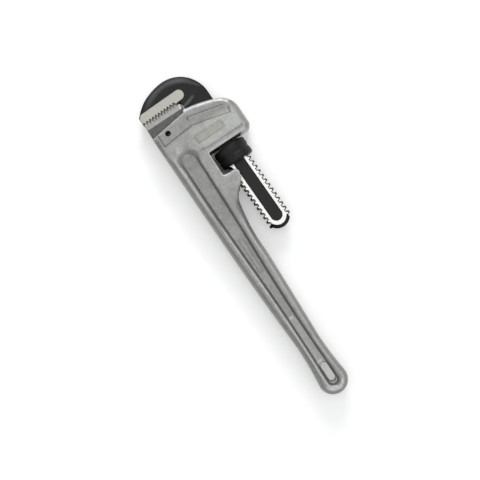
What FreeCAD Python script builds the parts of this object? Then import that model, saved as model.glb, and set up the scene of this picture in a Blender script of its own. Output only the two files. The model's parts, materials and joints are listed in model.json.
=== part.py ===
"""Adjustable pipe wrench, nominal 450 mm, with a light-alloy handle and forged steel jaws.

The wrench lies flat. X runs along the handle towards the jaws, Y runs across it from the open
collar side to the heel side, and Z is up, through the thickness. Everything is drawn about the
middle of the adjusting nut and is moved at the end so that the origin is under the middle of the
whole wrench, on the surface that it lies on. The shank leans a little in its collar, as it does
when the flat spring holds it against the heel side.
"""
import FreeCAD
import Part

import math
import os

from FreeCAD import Placement, Rotation, Vector

# Driving dimensions, in millimetres and degrees.
LEAN = 1.5                      # lean of the shank, towards the heel side

PITCH = 6.35                    # thread pitch, four turns to the inch
CREST_RADIUS = 14.7             # shank thread, outside
ROOT_HALF_WIDTH = 11.15         # shank thread, bottom of the gaps
CREST_WIDTH = 2.0
FLANK_RUN = 1.075               # how far one flank leans along the shank
FIRST_CREST = -93.75            # heel-side crest next to the rounded lower end
LAST_CREST = 14.0
SHANK_HALF_THICKNESS = 8.25
SHANK_END = -101.6
SHANK_CORNER = 0.95             # bevel on the long corners, across, so that the nut's thread clears them
SHANK_CORNER_DROP = 1.15        # the same bevel through the thickness
NECK_HEEL_SIDE = 15.6
NECK_BACK_SIDE = -16.7
RECESS_HALF_WIDTH = 7.1
RECESS_END = -92.6
RECESS_DEPTH = 1.2

HOOK_HALF_THICKNESS = 10.0
HOOK_TIPS = 83.1                # tooth tips of the hook jaw, along the shank
HOOK_TOOTH_DEPTH = 2.8
TOOTH_PITCH = 4.0
PAD_HEIGHT = 0.4                # ground pad behind the hook jaw's teeth

NUT_RADIUS = 20.0
NUT_LENGTH = 22.0
NUT_MINOR_RADIUS = 13.6
NUT_MAJOR_RADIUS = 15.1
THREAD_PLAY = 0.4               # play on each flank at the faces of the shank, along it

HOUSING_HALF_THICKNESS = 21.0
HANDLE_HALF_THICKNESS = 13.0
WEB_HALF_THICKNESS = 3.5
TAIL_CENTRE = (-277.0, 47.6)
TAIL_RADIUS = 17.3
HANG_SLOT = (-279.0, -254.0, 47.4, 8.0)     # ends in X, centre in Y, width
WINDOW = (-15.9, 13.4, 22.7)                # lower wall and upper wall in X, inner wall in Y
PASSAGE = (-18.6, 18.2, 9.3)                # walls in Y, half width in Z
GROOVE = (1.2, 0.5)                         # width and depth of the lines on the collar
SLOT_PLAY = 0.05                            # play of the heel jaw in its slot, on each face

HEEL_HALF_THICKNESS = 10.0
HEEL_TIPS = 80.5
HEEL_TOOTH_DEPTH = 2.3
HEEL_BEVEL = (73.7, 1.8)        # where the bevel towards the teeth starts, and its drop
HEEL_PIN = (57.3, 49.2)
HEEL_PIN_RADIUS = 3.2
HEEL_PIN_LENGTH = 34.0
PIN_PLAY = 0.05                 # radial play of a pin in its hole

SPRING_PIN = (21.0, -22.0)      # pivot of the flat spring, beside the shank
SPRING_PIN_RADIUS = 2.0
FLAT_SPRING_THICKNESS = 1.2
FLAT_SPRING_WIDTH = 12.0
COIL_X = 44.0
COIL_RADIUS = 3.75              # to the middle of the wire
COIL_WIRE = 1.5
COIL_SEAT = -29.4
COIL_TOP = -17.35
COIL_TURNS = 4.5
COIL_ROOM = 0.7                 # gap round the coil spring in its pocket


def outline(start, *legs):
    """Closed face in the XY plane; a leg is an end point, or a middle and an end point of an arc."""
    edges = []
    here = Vector(*start, 0)
    for leg in legs + (start,):
        if isinstance(leg[0], tuple):
            middle, end = Vector(*leg[0], 0), Vector(*leg[1], 0)
            edges.append(Part.Arc(here, middle, end).toShape())
        else:
            end = Vector(*leg, 0)
            if here.distanceToPoint(end) > 1e-6:
                edges.append(Part.LineSegment(here, end).toShape())
        here = end
    return Part.Face(Part.Wire(edges))


def prism(face, low, high):
    """Solid between two heights above a face in the XY plane."""
    moved = face.translated(Vector(0, 0, low))
    return moved.extrude(Vector(0, 0, high - low))


def block(x_range, y_range, half_height):
    """Box between two X and two Y, centred on the middle plane."""
    size = (x_range[1] - x_range[0], y_range[1] - y_range[0], 2 * half_height)
    return Part.makeBox(*size, Vector(x_range[0], y_range[0], -half_height))


def upright(centre, radius, low, high):
    """Cylinder along Z."""
    return Part.makeCylinder(radius, high - low, Vector(*centre, low), Vector(0, 0, 1))


def side_profile(points):
    """Solid slab across Y, from a closed outline given as X and Z."""
    corners = [Vector(x, -60, z) for x, z in points]
    face = Part.Face(Part.makePolygon(corners + corners[:1]))
    return face.extrude(Vector(0, 150, 0))


def both_faces(tool):
    """A tool for the upper face, with its mirror image for the lower face."""
    return [tool, tool.mirror(Vector(0, 0, 0), Vector(0, 0, 1))]


def tooth_row(tip, root, first, last):
    """Points of a row of jaw teeth along Y, from tip to root and on to the last tip."""
    count = round(abs(last - first) / TOOTH_PITCH)
    step = (last - first) / count
    points = []
    for index in range(count):
        points.append((tip, first + index * step))
        points.append((root, first + (index + 0.5) * step))
    points.append((tip, last))
    return points


def leaned(thing):
    """The same shape, turned about the nut's centre to the shank's lean."""
    return thing.rotated(Vector(0, 0, 0), Vector(0, 0, 1), LEAN)


def leaned_point(point):
    """The same turn for a point given as X and Y."""
    turned = Rotation(Vector(0, 0, 1), LEAN).multVec(Vector(*point, 0))
    return (turned.x, turned.y)


def groove(points, width, depth):
    """Shallow straight-sided grooves along a broken line, for both faces of the housing."""
    tools = []
    for start, end in zip(points, points[1:]):
        run = Vector(*end, 0) - Vector(*start, 0)
        bar = Part.makeBox(run.Length + width, width, 2 * depth, Vector(-width / 2, -width / 2, -depth))
        bar.Placement = Placement(
            Vector(*start, HOUSING_HALF_THICKNESS), Rotation(Vector(1, 0, 0), run)
        )
        tools += both_faces(bar)
    return tools


def housing_blank():
    """Handle and collar as one flat outline, thinned towards the tail."""
    low_wall, high_wall, inner_wall = WINDOW
    tail_x, tail_y = TAIL_CENTRE
    plan = outline(
        (61.3, 67.7),
        (-61.0, 66.8),
        ((-145.0, 65.1), (-226.0, 61.8)),
        ((-252.0, 62.6), (tail_x, tail_y + TAIL_RADIUS)),
        ((tail_x - TAIL_RADIUS, tail_y), (tail_x, tail_y - TAIL_RADIUS)),
        ((-252.0, 32.6), (-226.0, 33.4)),
        ((-170.0, 31.3), (-112.5, 29.6)),
        ((-78.0, 28.9), (-49.6, 24.3)),
        ((-43.5, 21.2), (-38.3, 16.4)),
        (-32.7, 11.3),
        ((-28.4, 8.2), (-23.6, 6.2)),
        ((-18.4, 6.6), (low_wall - 0.6, 11.0)),
        (low_wall, inner_wall - 1.5),
        ((low_wall + 0.44, inner_wall - 0.44), (low_wall + 1.5, inner_wall)),
        (high_wall - 1.5, inner_wall),
        ((high_wall - 0.44, inner_wall - 0.44), (high_wall, inner_wall - 1.5)),
        (high_wall, -28.0),
        ((high_wall + 1.76, -32.24), (high_wall + 6.0, -34.0)),
        (38.3, -34.0),
        ((49.6, -31.24), (58.4, -23.6)),
        ((66.6, -1.6), (71.1, 20.8)),
        (67.5, 22.6),
        (61.3, 65.5),
    )
    blank = prism(plan, -HOUSING_HALF_THICKNESS, HOUSING_HALF_THICKNESS)
    head, tail = HOUSING_HALF_THICKNESS, HANDLE_HALF_THICKNESS
    thickness = side_profile([
        (80, -head), (80, head), (-28, head), (-70, 16.4), (-120, tail),
        (-300, tail), (-300, -tail), (-120, -tail), (-70, -16.4), (-28, -head),
    ])
    return blank.common(thickness)


def collar_rounding():
    """What is cut from the open side of the collar, so that its two long edges are round."""
    radius = 8.0
    edge = -34.0
    face = HOUSING_HALF_THICKNESS
    corner = Part.makeBox(100, radius, radius, Vector(0, edge, face - radius))
    bar = Part.makeCylinder(radius, 100, Vector(0, edge + radius, face - radius), Vector(1, 0, 0))
    return both_faces(corner.cut(bar))


def handle_recess():
    """Long recess that leaves a web along the handle, and shallows into a scoop at the collar."""
    plan = outline(
        (16.0, 55.0),
        (-130.0, 53.3),
        (-247.0, 52.3),
        (-252.0, 47.4),
        (-247.0, 43.2),
        (-130.0, 41.6),
        (16.0, 38.2),
        ((30.0, 46.0), (16.0, 55.0)),
    )
    above_floor = side_profile([
        (-260, WEB_HALF_THICKNESS + 1.5), (-253, WEB_HALF_THICKNESS + 1.5),
        (-194, WEB_HALF_THICKNESS + 1.5), (-190, WEB_HALF_THICKNESS),
        (-110, WEB_HALF_THICKNESS), (-20, 9.0), (14, 11.5), (34, 21.5), (34, 30), (-260, 30),
    ])
    return both_faces(prism(plan, 0, HOUSING_HALF_THICKNESS + 5).common(above_floor))


def hang_slot():
    """Long hole through the tail, with a sunk rim round it on each face."""
    low, high, middle, width = HANG_SLOT

    def slot(margin):
        half = width / 2 + margin
        return outline(
            (low + width / 2, middle - half),
            (high - width / 2, middle - half),
            ((high + margin, middle), (high - width / 2, middle + half)),
            (low + width / 2, middle + half),
            ((low - margin, middle), (low + width / 2, middle - half)),
        )

    through = prism(slot(0), -HOUSING_HALF_THICKNESS, HOUSING_HALF_THICKNESS)
    rim = prism(slot(2.8), WEB_HALF_THICKNESS + 1.5, HOUSING_HALF_THICKNESS)
    return [through] + both_faces(rim)


def spring_space():
    """Room beside the shank for the flat spring, its eye, its pin and the coil spring."""
    relief = block((16.5, 56.0), (-20.3, -15.0), FLAT_SPRING_WIDTH / 2 + 1)
    pin_at = leaned_point(SPRING_PIN)
    eye = upright(pin_at, 4.3, -FLAT_SPRING_WIDTH / 2 - 1, FLAT_SPRING_WIDTH / 2 + 1)
    pin_hole = upright(pin_at, SPRING_PIN_RADIUS + PIN_PLAY / 2, -HOUSING_HALF_THICKNESS, 12)
    pocket_radius = COIL_RADIUS + COIL_WIRE / 2 + COIL_ROOM
    pocket_floor = COIL_SEAT - 0.1
    pocket = Part.makeCylinder(pocket_radius, 15, Vector(COIL_X, pocket_floor, 0), Vector(0, 1, 0))
    return [relief, eye, pin_hole, pocket]


def make_handle_housing():
    """Alloy handle and collar, with the window, shank passage, heel seat and springs' space."""
    passage_low, passage_high, passage_half = PASSAGE
    cuts = collar_rounding() + handle_recess() + hang_slot() + spring_space()
    cuts.append(block((0.0, 90.0), (passage_low, passage_high), passage_half))
    cuts.append(block((-62.0, -10.0), (-10.0, 18.5), passage_half))
    cuts.append(block((49.0, 90.0), (22.9, 64.6), HEEL_HALF_THICKNESS + SLOT_PLAY))
    pin_hole = upright(HEEL_PIN, HEEL_PIN_RADIUS + PIN_PLAY, -HOUSING_HALF_THICKNESS, HOUSING_HALF_THICKNESS)
    cuts.append(pin_hole)
    cuts += groove([(46.8, 60.2), (48.5, 41.0), (50.2, 21.9), (38.9, -22.4), (45.6, -23.9)], *GROOVE)
    cuts += groove([(47.0, 60.2), (61.5, 60.2)], *GROOVE)
    cuts += groove([(57.4, 22.6), (60.9, 21.9), (50.7, -20.0)], *GROOVE)
    return housing_blank().cut(cuts)


def make_heel_jaw():
    """Fixed toothed jaw, a block that drops into the slot in the housing."""
    corner = 3.0
    low_end, high_end = 19.2, 67.2
    teeth = tooth_row(HEEL_TIPS, HEEL_TIPS - HEEL_TOOTH_DEPTH, low_end + corner, high_end - 1.0)
    plan = outline(
        (49.3, 23.2),
        (68.2, 23.2),
        (72.2, 21.6),
        (74.0, low_end),
        (HEEL_TIPS - corner, low_end),
        ((HEEL_TIPS - 0.29 * corner, low_end + 0.29 * corner), teeth[0]),
        *teeth[1:],
        (HEEL_TIPS - 1.0, high_end),
        (61.6, high_end),
        (61.6, 64.3),
        (49.3, 64.3),
    )
    half = HEEL_HALF_THICKNESS
    bevel_start, drop = HEEL_BEVEL
    beyond = HEEL_TIPS + 0.1
    bevelled = side_profile([
        (45, -half), (bevel_start, -half), (beyond, drop - half),
        (beyond, half - drop), (bevel_start, half), (45, half),
    ])
    hole = upright(HEEL_PIN, HEEL_PIN_RADIUS + PIN_PLAY, -half, half)
    return prism(plan, -half, half).common(bevelled).cut(hole)


def make_heel_jaw_pin():
    """Slotted spring pin, set below both faces of the housing."""
    half = HEEL_PIN_LENGTH / 2
    pin = upright(HEEL_PIN, HEEL_PIN_RADIUS, -half, half)
    bore = upright(HEEL_PIN, HEEL_PIN_RADIUS - 1.1, -half, half)
    split = block((HEEL_PIN[0], HEEL_PIN[0] + 5), (HEEL_PIN[1] - 0.4, HEEL_PIN[1] + 0.4), half)
    return pin.cut([bore, split])


def shank_core():
    """Flat bar under the threads, with a rounded lower end and bevelled corners."""
    half = ROOT_HALF_WIDTH
    round_end = SHANK_END + CREST_RADIUS
    bar = prism(
        outline(
            (LAST_CREST, -half),
            (LAST_CREST, half),
            (FIRST_CREST + 2, half),
            ((SHANK_END, 0.0), (FIRST_CREST + 2, -half)),
        ),
        -SHANK_HALF_THICKNESS, SHANK_HALF_THICKNESS,
    )
    foot = upright((round_end, 0), CREST_RADIUS, -SHANK_HALF_THICKNESS, SHANK_HALF_THICKNESS)
    foot = foot.common(block((SHANK_END, FIRST_CREST + 2), (-20, 20), 20))
    side = [
        (half, SHANK_HALF_THICKNESS - SHANK_CORNER_DROP), (half - SHANK_CORNER, SHANK_HALF_THICKNESS),
    ]
    section = [(y, z) for y, z in side]
    section += [(-y, z) for y, z in reversed(side)]
    section += [(-y, -z) for y, z in side]
    section += [(y, -z) for y, z in reversed(side)]
    corners = [Vector(FIRST_CREST + 1, y, z) for y, z in section]
    length = LAST_CREST - SHANK_END
    bevelled = Part.Face(Part.makePolygon(corners + corners[:1])).extrude(Vector(length, 0, 0))
    return foot.fuse(bar.common(bevelled))


def thread_teeth():
    """Teeth on both edges of the shank, each slanted at the thread's own angle."""
    half = SHANK_HALF_THICKNESS
    slant = PITCH / (2 * math.pi) * math.atan2(half, math.sqrt(CREST_RADIUS**2 - half**2))
    depth = CREST_RADIUS - ROOT_HALF_WIDTH
    teeth = []
    for side, shift in ((1, 0.0), (-1, PITCH / 2)):
        count = int((LAST_CREST - FIRST_CREST) / PITCH)
        for index in range(count + 1):
            middle = FIRST_CREST + shift + index * PITCH
            base = CREST_WIDTH / 2 + FLANK_RUN
            corners = [
                (-base - FLANK_RUN / depth, -1.0), (-CREST_WIDTH / 2, depth),
                (CREST_WIDTH / 2, depth), (base + FLANK_RUN / depth, -1.0),
            ]
            points = [
                Vector(middle + x - side * slant, side * (ROOT_HALF_WIDTH + y), -half) for x, y in corners
            ]
            face = Part.Face(Part.makePolygon(points + points[:1]))
            teeth.append(face.extrude(Vector(2 * side * slant, 0, 2 * half)))
    crest = Part.makeCylinder(CREST_RADIUS, 140, Vector(-110, 0, 0), Vector(1, 0, 0))
    return [tooth.common(crest) for tooth in teeth]


def make_hook_jaw():
    """Moving jaw: hooked head, plain neck and threaded flat shank, in one forging."""
    tips, roots = HOOK_TIPS, HOOK_TIPS + HOOK_TOOTH_DEPTH
    back_centre = (74.7, 20.8)
    back_radius = 37.5
    top_centre = (52.2, 20.8)
    top_radius = 60.0
    knuckle = 37.0              # where the back turns round, in degrees below the crown
    crown = (back_centre[0] + back_radius, back_centre[1])
    lower = (
        back_centre[0] + back_radius * math.cos(math.radians(knuckle)),
        back_centre[1] - back_radius * math.sin(math.radians(knuckle)),
    )
    shoulder_angle = math.radians(47.5)
    shoulder = (
        top_centre[0] + top_radius * math.cos(shoulder_angle),
        top_centre[1] + top_radius * math.sin(shoulder_angle),
    )
    middle_angle = shoulder_angle / 2
    over = (
        top_centre[0] + top_radius * math.cos(middle_angle),
        top_centre[1] + top_radius * math.sin(middle_angle),
    )
    teeth = tooth_row(tips, roots, 65.5, 21.5)
    plan = outline(
        (12.0, NECK_BACK_SIDE),
        (back_centre[0], NECK_BACK_SIDE),
        (lower, crown),
        (over, shoulder),
        (shoulder[0] - 2.0, 65.5),
        *teeth,
        (82.0, 19.6),
        ((80.83, 16.77), (78.0, NECK_HEEL_SIDE)),
        (12.0, NECK_HEEL_SIDE),
    )
    plate = prism(plan, -SHANK_HALF_THICKNESS, SHANK_HALF_THICKNESS)
    head = prism(plan, -HOOK_HALF_THICKNESS, HOOK_HALF_THICKNESS)
    head = head.common(block((79.0, 130.0), (-40.0, 90.0), HOOK_HALF_THICKNESS))
    pad = outline(
        (roots, 65.5),
        (roots, 21.5),
        (82.6, 13.0),
        ((88.8, 6.8), (95.0, 13.0)),
        (95.0, 62.0),
        (92.0, 65.5),
    )
    pad = prism(pad, -HOOK_HALF_THICKNESS - PAD_HEIGHT, HOOK_HALF_THICKNESS + PAD_HEIGHT)
    recess = outline(
        (60.0, -RECESS_HALF_WIDTH),
        (60.0, RECESS_HALF_WIDTH),
        (RECESS_END + RECESS_HALF_WIDTH, RECESS_HALF_WIDTH),
        ((RECESS_END, 0.0), (RECESS_END + RECESS_HALF_WIDTH, -RECESS_HALF_WIDTH)),
    )
    recess = prism(recess, SHANK_HALF_THICKNESS - RECESS_DEPTH, SHANK_HALF_THICKNESS + 1)
    shank = shank_core().fuse(thread_teeth())
    jaw = plate.fuse([head, pad, shank]).cut(both_faces(recess))
    return leaned(jaw.removeSplitter())


def make_adjusting_nut():
    """Round nut with chamfered ends and an inside thread that runs on the shank's teeth."""
    chamfer = 1.6
    half = NUT_LENGTH / 2
    rim = [
        (-half, NUT_MINOR_RADIUS), (-half, NUT_RADIUS - chamfer), (chamfer - half, NUT_RADIUS),
        (half - chamfer, NUT_RADIUS), (half, NUT_RADIUS - chamfer), (half, NUT_MINOR_RADIUS),
    ]
    corners = [Vector(x, r, 0) for x, r in rim]
    body = Part.Face(Part.makePolygon(corners + corners[:1])).revolve(Vector(0, 0, 0), Vector(1, 0, 0), 360)

    def groove_half_width(radius):
        """Room for the shank's teeth where they are widest, at the faces of the flat bar."""
        across = max(math.sqrt(radius**2 - SHANK_HALF_THICKNESS**2), ROOT_HALF_WIDTH)
        flank = FLANK_RUN / (CREST_RADIUS - ROOT_HALF_WIDTH)
        return CREST_WIDTH / 2 + (CREST_RADIUS - across) * flank + THREAD_PLAY

    start = FIRST_CREST
    while start < -half - 1.5 * PITCH:
        start += PITCH
    inner = NUT_MINOR_RADIUS - 0.6
    helix = Part.makeHelix(PITCH, 1.02 * PITCH, NUT_MAJOR_RADIUS)
    section = [
        Vector(inner, 0, -groove_half_width(inner)),
        Vector(NUT_MAJOR_RADIUS, 0, -groove_half_width(NUT_MAJOR_RADIUS)),
        Vector(NUT_MAJOR_RADIUS, 0, groove_half_width(NUT_MAJOR_RADIUS)),
        Vector(inner, 0, groove_half_width(inner)),
    ]
    turn = Part.Wire(helix).makePipeShell([Part.makePolygon(section + section[:1])], True, True)
    along_x = Rotation(Vector(0, 1, 0), Vector(0, 0, 1), Vector(1, 0, 0))
    turn.Placement = Placement(Vector(start, 0, 0), along_x)
    turns = math.ceil((half - start) / PITCH)
    thread = [turn.translated(Vector(index * PITCH, 0, 0)) for index in range(turns)]
    return leaned(body.cut(thread))


def make_flat_spring():
    """Bent strip with a rolled eye; the strip bears on the outer edge of the shank."""
    eye_x, eye_y = SPRING_PIN
    half = FLAT_SPRING_THICKNESS / 2
    eye_inner = SPRING_PIN_RADIUS + PIN_PLAY
    eye_outer = eye_inner + FLAT_SPRING_THICKNESS
    start = (eye_x, eye_y + eye_inner + half)
    middle = (38.0, NECK_BACK_SIDE - 0.3 - half)
    end = (52.0, NECK_BACK_SIDE - 1.6)
    strip = outline(
        (start[0], start[1] - half),
        ((middle[0], middle[1] - half), (end[0], end[1] - half)),
        (end[0], end[1] + half),
        ((middle[0], middle[1] + half), (start[0], start[1] + half)),
    )
    width = FLAT_SPRING_WIDTH / 2
    eye = upright(SPRING_PIN, eye_outer, -width, width)
    bore = upright(SPRING_PIN, eye_inner, -width, width)
    return leaned(eye.fuse(prism(strip, -width, width)).cut(bore).removeSplitter())


def make_spring_pin():
    """Small plain pin through the flat spring's eye, driven in from the lower face."""
    return upright(leaned_point(SPRING_PIN), SPRING_PIN_RADIUS, -16.0, 12.0)


def make_coil_spring():
    """Small coil spring that pushes the flat spring against the shank."""
    height = COIL_TOP - COIL_SEAT - COIL_WIRE
    helix = Part.makeHelix(height / COIL_TURNS, height, COIL_RADIUS)
    ring = Part.Wire(Part.makeCircle(COIL_WIRE / 2, Vector(COIL_RADIUS, 0, 0), Vector(0, 1, 0)))
    coil = Part.Wire(helix).makePipeShell([ring], True, True)
    coil.Placement = Placement(Vector(COIL_X, COIL_SEAT + COIL_WIRE / 2, 0), Rotation(Vector(1, 0, 0), -90))
    return coil


NODES = {
    "handle_housing": make_handle_housing,
    "heel_jaw": make_heel_jaw,
    "heel_jaw_pin": make_heel_jaw_pin,
    "hook_jaw": make_hook_jaw,
    "adjusting_nut": make_adjusting_nut,
    "flat_spring": make_flat_spring,
    "spring_pin": make_spring_pin,
    "coil_spring": make_coil_spring,
}


def main():
    """Make every node, move them all to the row's origin and write one STEP file for each."""
    os.makedirs("parts", exist_ok=True)
    shapes = {name: make() for name, make in NODES.items()}
    box = Part.makeCompound(list(shapes.values())).optimalBoundingBox(False, False)
    origin = Vector((box.XMin + box.XMax) / 2, (box.YMin + box.YMax) / 2, box.ZMin)
    pivot = leaned_point(SPRING_PIN)
    print("nut centre in the row frame:", -origin.x, -origin.y, -origin.z)
    print("spring pin in the row frame:", pivot[0] - origin.x, pivot[1] - origin.y)
    for name, shape in shapes.items():
        shape.translated(-origin).exportStep(f"parts/{name}.step")
        print(name, "valid" if shape.isValid() else "NOT VALID", len(shape.Solids), round(shape.Volume))


main()
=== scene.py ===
"""Pipe wrench: the visible surfaces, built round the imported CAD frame.

Shapes are worked out in millimetres about the middle of the adjusting nut: X runs towards the
jaws, Y towards the heel side and Z up. The hook jaw and the nut are drawn along the shank's own
axis, which leans a little, and are turned by that lean at the end.
"""

import json
import logging
import math
from dataclasses import dataclass
from enum import Enum
from functools import partial
from typing import Callable, Sequence

import bpy
import numpy as np
from bpy.types import Material, NodeSocket, NodeTree, Object, ShaderNode
from mathutils import Matrix, Vector
from mathutils.geometry import delaunay_2d_cdt


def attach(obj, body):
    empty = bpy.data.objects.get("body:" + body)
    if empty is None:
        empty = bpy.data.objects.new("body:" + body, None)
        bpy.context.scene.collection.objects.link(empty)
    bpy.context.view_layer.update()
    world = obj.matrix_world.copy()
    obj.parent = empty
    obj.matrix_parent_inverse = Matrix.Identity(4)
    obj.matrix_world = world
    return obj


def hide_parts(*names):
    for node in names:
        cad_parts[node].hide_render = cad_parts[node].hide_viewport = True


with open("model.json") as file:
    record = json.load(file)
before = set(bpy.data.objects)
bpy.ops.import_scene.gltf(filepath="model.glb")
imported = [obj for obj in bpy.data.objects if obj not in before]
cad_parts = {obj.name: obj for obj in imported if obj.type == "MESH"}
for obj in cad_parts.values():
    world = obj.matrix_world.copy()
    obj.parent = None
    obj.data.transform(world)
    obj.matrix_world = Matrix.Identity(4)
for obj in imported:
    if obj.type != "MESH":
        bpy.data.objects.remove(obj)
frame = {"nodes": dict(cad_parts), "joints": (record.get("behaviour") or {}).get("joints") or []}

LOG = logging.getLogger("pipe_wrench")
MM = 0.001
BATCH = 1500                # points measured at a time, to keep the arrays small
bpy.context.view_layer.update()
JOINTS = {joint["name"]: joint for joint in frame["joints"]}
NUT_CENTRE = np.array(JOINTS["nut_spin"]["pos_m"])
SLIDE_AXIS = JOINTS["jaw_slide"]["axis"]
LEAN = math.atan2(SLIDE_AXIS[1], SLIDE_AXIS[0])

Array = np.ndarray
Pair = tuple[float, float]
Triple = tuple[float, float, float]
Box = tuple[float, float, float, float]     # middle and half sizes
Height = Callable[[Array], Array]
Adder = Callable[..., NodeSocket]


class Axes(Enum):
    """The two sets of axes that pieces are drawn in."""

    HANDLE = 0.0
    SHANK = LEAN


# ---------------------------------------------------------------- flat outlines


@dataclass(frozen=True)
class Leg:
    """One stretch of an outline: a straight run, or an arc when it goes through a middle point.

    across and down are how far the edge is rounded off, inwards and through the thickness.
    """

    end: Pair
    through: Pair | None = None
    across: float = 1.0
    down: float = 1.0


def arc_points(start: Array, middle: Array, end: Array, step: float) -> Array:
    """Points along the circle through three points, without the first.

    The centre is where the upright bisectors of the two chords cross.

    Args:
        start: first point.
        middle: a point on the arc.
        end: last point.
        step: wanted spacing.

    Returns:
        An array of points.
    """
    system = 2 * np.array([middle - start, end - start])
    centre = np.linalg.solve(system, [middle @ middle - start @ start, end @ end - start @ start])
    radius = np.linalg.norm(start - centre)
    angles = [math.atan2(*(point - centre)[::-1]) for point in (start, middle, end)]
    sweep = (angles[2] - angles[0]) % math.tau
    if (angles[1] - angles[0]) % math.tau > sweep:
        sweep -= math.tau
    count = max(2, math.ceil(abs(sweep) * radius / step))
    turned = angles[0] + sweep * np.arange(1, count + 1) / count
    return centre + radius * np.column_stack([np.cos(turned), np.sin(turned)])


class Outline:
    """Closed outline as a fine polygon, with the edge rounding known all along it."""

    def __init__(self, start: Pair, legs: Sequence[Leg], step: float = 1.2) -> None:
        """Sample the legs.

        Args:
            start: first corner.
            legs: the stretches, the last of which ends at the first corner.
            step: spacing of the points.
        """
        here = np.array(start, float)
        points, across, down = [], [], []
        for leg in legs:
            end = np.array(leg.end, float)
            if leg.through is None:
                count = max(1, math.ceil(np.linalg.norm(end - here) / step))
                new = here + (end - here) * (np.arange(1, count + 1) / count)[:, None]
            else:
                new = arc_points(here, np.array(leg.through, float), end, step)
            points.append(new)
            across.append(np.full(len(new), leg.across))
            down.append(np.full(len(new), leg.down))
            here = end
        self.points = np.vstack(points)
        self.across = self._eased(np.concatenate(across), step)
        self.down = self._eased(np.concatenate(down), step)
        following = np.roll(self.points, -1, 0)
        area = np.sum(self.points[:, 0] * following[:, 1] - following[:, 0] * self.points[:, 1])
        self.turn = 1.0 if area > 0 else -1.0

    @staticmethod
    def _eased(values: Array, step: float, reach: float = 5.0) -> Array:
        """Running mean round the outline, so that the rounding changes gently."""
        width = max(1, int(reach / step))
        return np.mean([np.roll(values, shift) for shift in range(-width, width + 1)], axis=0)

    def normals(self) -> Array:
        """Unit vectors that point inwards at each point.

        Returns:
            One vector for each point.
        """
        along = np.roll(self.points, -1, 0) - np.roll(self.points, 1, 0)
        inward = np.column_stack([-along[:, 1], along[:, 0]]) * self.turn
        return inward / np.maximum(np.linalg.norm(inward, axis=1, keepdims=True), 1e-9)

    def measure(self, xy: Array) -> tuple[Array, Array, Array]:
        """Distance to the outline, positive inside, and the edge rounding nearest to each point.

        The inside is where a ray along X crosses the outline an odd number of times.

        Args:
            xy: places in the outline's plane.

        Returns:
            The distance, and the width and depth of the nearest rounding, for each place.
        """
        (ax, ay), (bx, by) = self.points.T, np.roll(self.points, -1, 0).T
        rx, ry = bx - ax, by - ay
        length2 = np.maximum(rx * rx + ry * ry, 1e-12)
        slope = rx / np.where(np.abs(ry) < 1e-12, 1e-12, ry)
        distance, across, down = (np.empty(len(xy)) for _ in range(3))
        for low in range(0, len(xy), BATCH):
            part = slice(low, low + BATCH)
            x, y = xy[part, :1], xy[part, 1:2]
            px, py = x - ax, y - ay
            share = np.clip((px * rx + py * ry) / length2, 0, 1)
            gap = (px - share * rx) ** 2 + (py - share * ry) ** 2
            near = np.argmin(gap, axis=1)
            rows = np.arange(len(near))
            hit = ((ay > y) != (by > y)) & (px < py * slope)
            sign = np.where(np.sum(hit, axis=1) % 2 == 1, 1, -1)
            distance[part] = sign * np.sqrt(gap[rows, near])
            after = (near + 1) % len(ax)
            mix = share[rows, near]
            across[part] = self.across[near] * (1 - mix) + self.across[after] * mix
            down[part] = self.down[near] * (1 - mix) + self.down[after] * mix
        return distance, across, down

    def beside(self, offset: float) -> Array:
        """The outline moved inwards by a distance, for smooth outlines and small distances."""
        return self.points + self.normals() * offset

    def rows(self, offsets: Sequence[float]) -> Array:
        """Points beside the outline at the given distances, inwards positive.

        Args:
            offsets: distances from the outline.

        Returns:
            The points that ended up at their distance, one to a row.
        """
        found = []
        inward = self.normals()
        for offset in offsets:
            moved = self.points + inward * offset
            keep = np.abs(self.measure(moved)[0] - offset) < 0.1 * abs(offset) + 0.03
            found.append(moved[keep])
        return np.vstack(found)

    def rounding_rows(self, count: int) -> Array:
        """Rows that follow a quarter round: the distance is across times one minus the cosine.

        Args:
            count: number of rows.

        Returns:
            The points that ended up inside, one to a row.
        """
        found = []
        inward = self.normals()
        for index in range(1, count + 1):
            offset = self.across * (1 - math.cos(math.pi / 2 * index / count))
            moved = self.points + inward * offset[:, None]
            keep = self.measure(moved)[0] > 0.93 * offset - 0.02
            found.append(moved[keep])
        return np.vstack(found)


def circle(centre: Pair, radius: float, step: float = 0.7, across: float = 0.3) -> Outline:
    """Round outline, as two half circles.

    Args:
        centre: its middle.
        radius: its radius.
        step: spacing of its points.
        across: width and depth of its edge rounding.

    Returns:
        The outline.
    """
    x, y = centre
    legs = [
        Leg((x - radius, y), (x, y + radius), across, across),
        Leg((x + radius, y), (x, y - radius), across, across),
    ]
    return Outline((x + radius, y), legs, step)


def stadium(
    low: float, high: float, middle: float, width: float, step: float, across: float
) -> Outline:
    """Long outline along X with round ends.

    Args:
        low: X of its lower end.
        high: X of its upper end.
        middle: Y of its middle line.
        width: its width.
        step: spacing of its points.
        across: width and depth of its edge rounding.

    Returns:
        The outline.
    """
    half = width / 2
    legs = [
        Leg((high - half, middle - half), None, across, across),
        Leg((high - half, middle + half), (high, middle), across, across),
        Leg((low + half, middle + half), None, across, across),
        Leg((low + half, middle - half), (low, middle), across, across),
    ]
    return Outline((low + half, middle - half), legs, step)


def distance_to_line(xy: Array, corners: Sequence[Pair]) -> Array:
    """Distance of points to an open broken line.

    Args:
        xy: the points.
        corners: corners of the line.

    Returns:
        One distance for each point.
    """
    best = np.full(len(xy), np.inf)
    for start, end in zip(corners, corners[1:]):
        a, b = np.array(start, float), np.array(end, float)
        share = np.clip((xy - a) @ (b - a) / ((b - a) @ (b - a)), 0, 1)
        best = np.minimum(best, np.linalg.norm(xy - a - share[:, None] * (b - a), axis=1))
    return best


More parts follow.
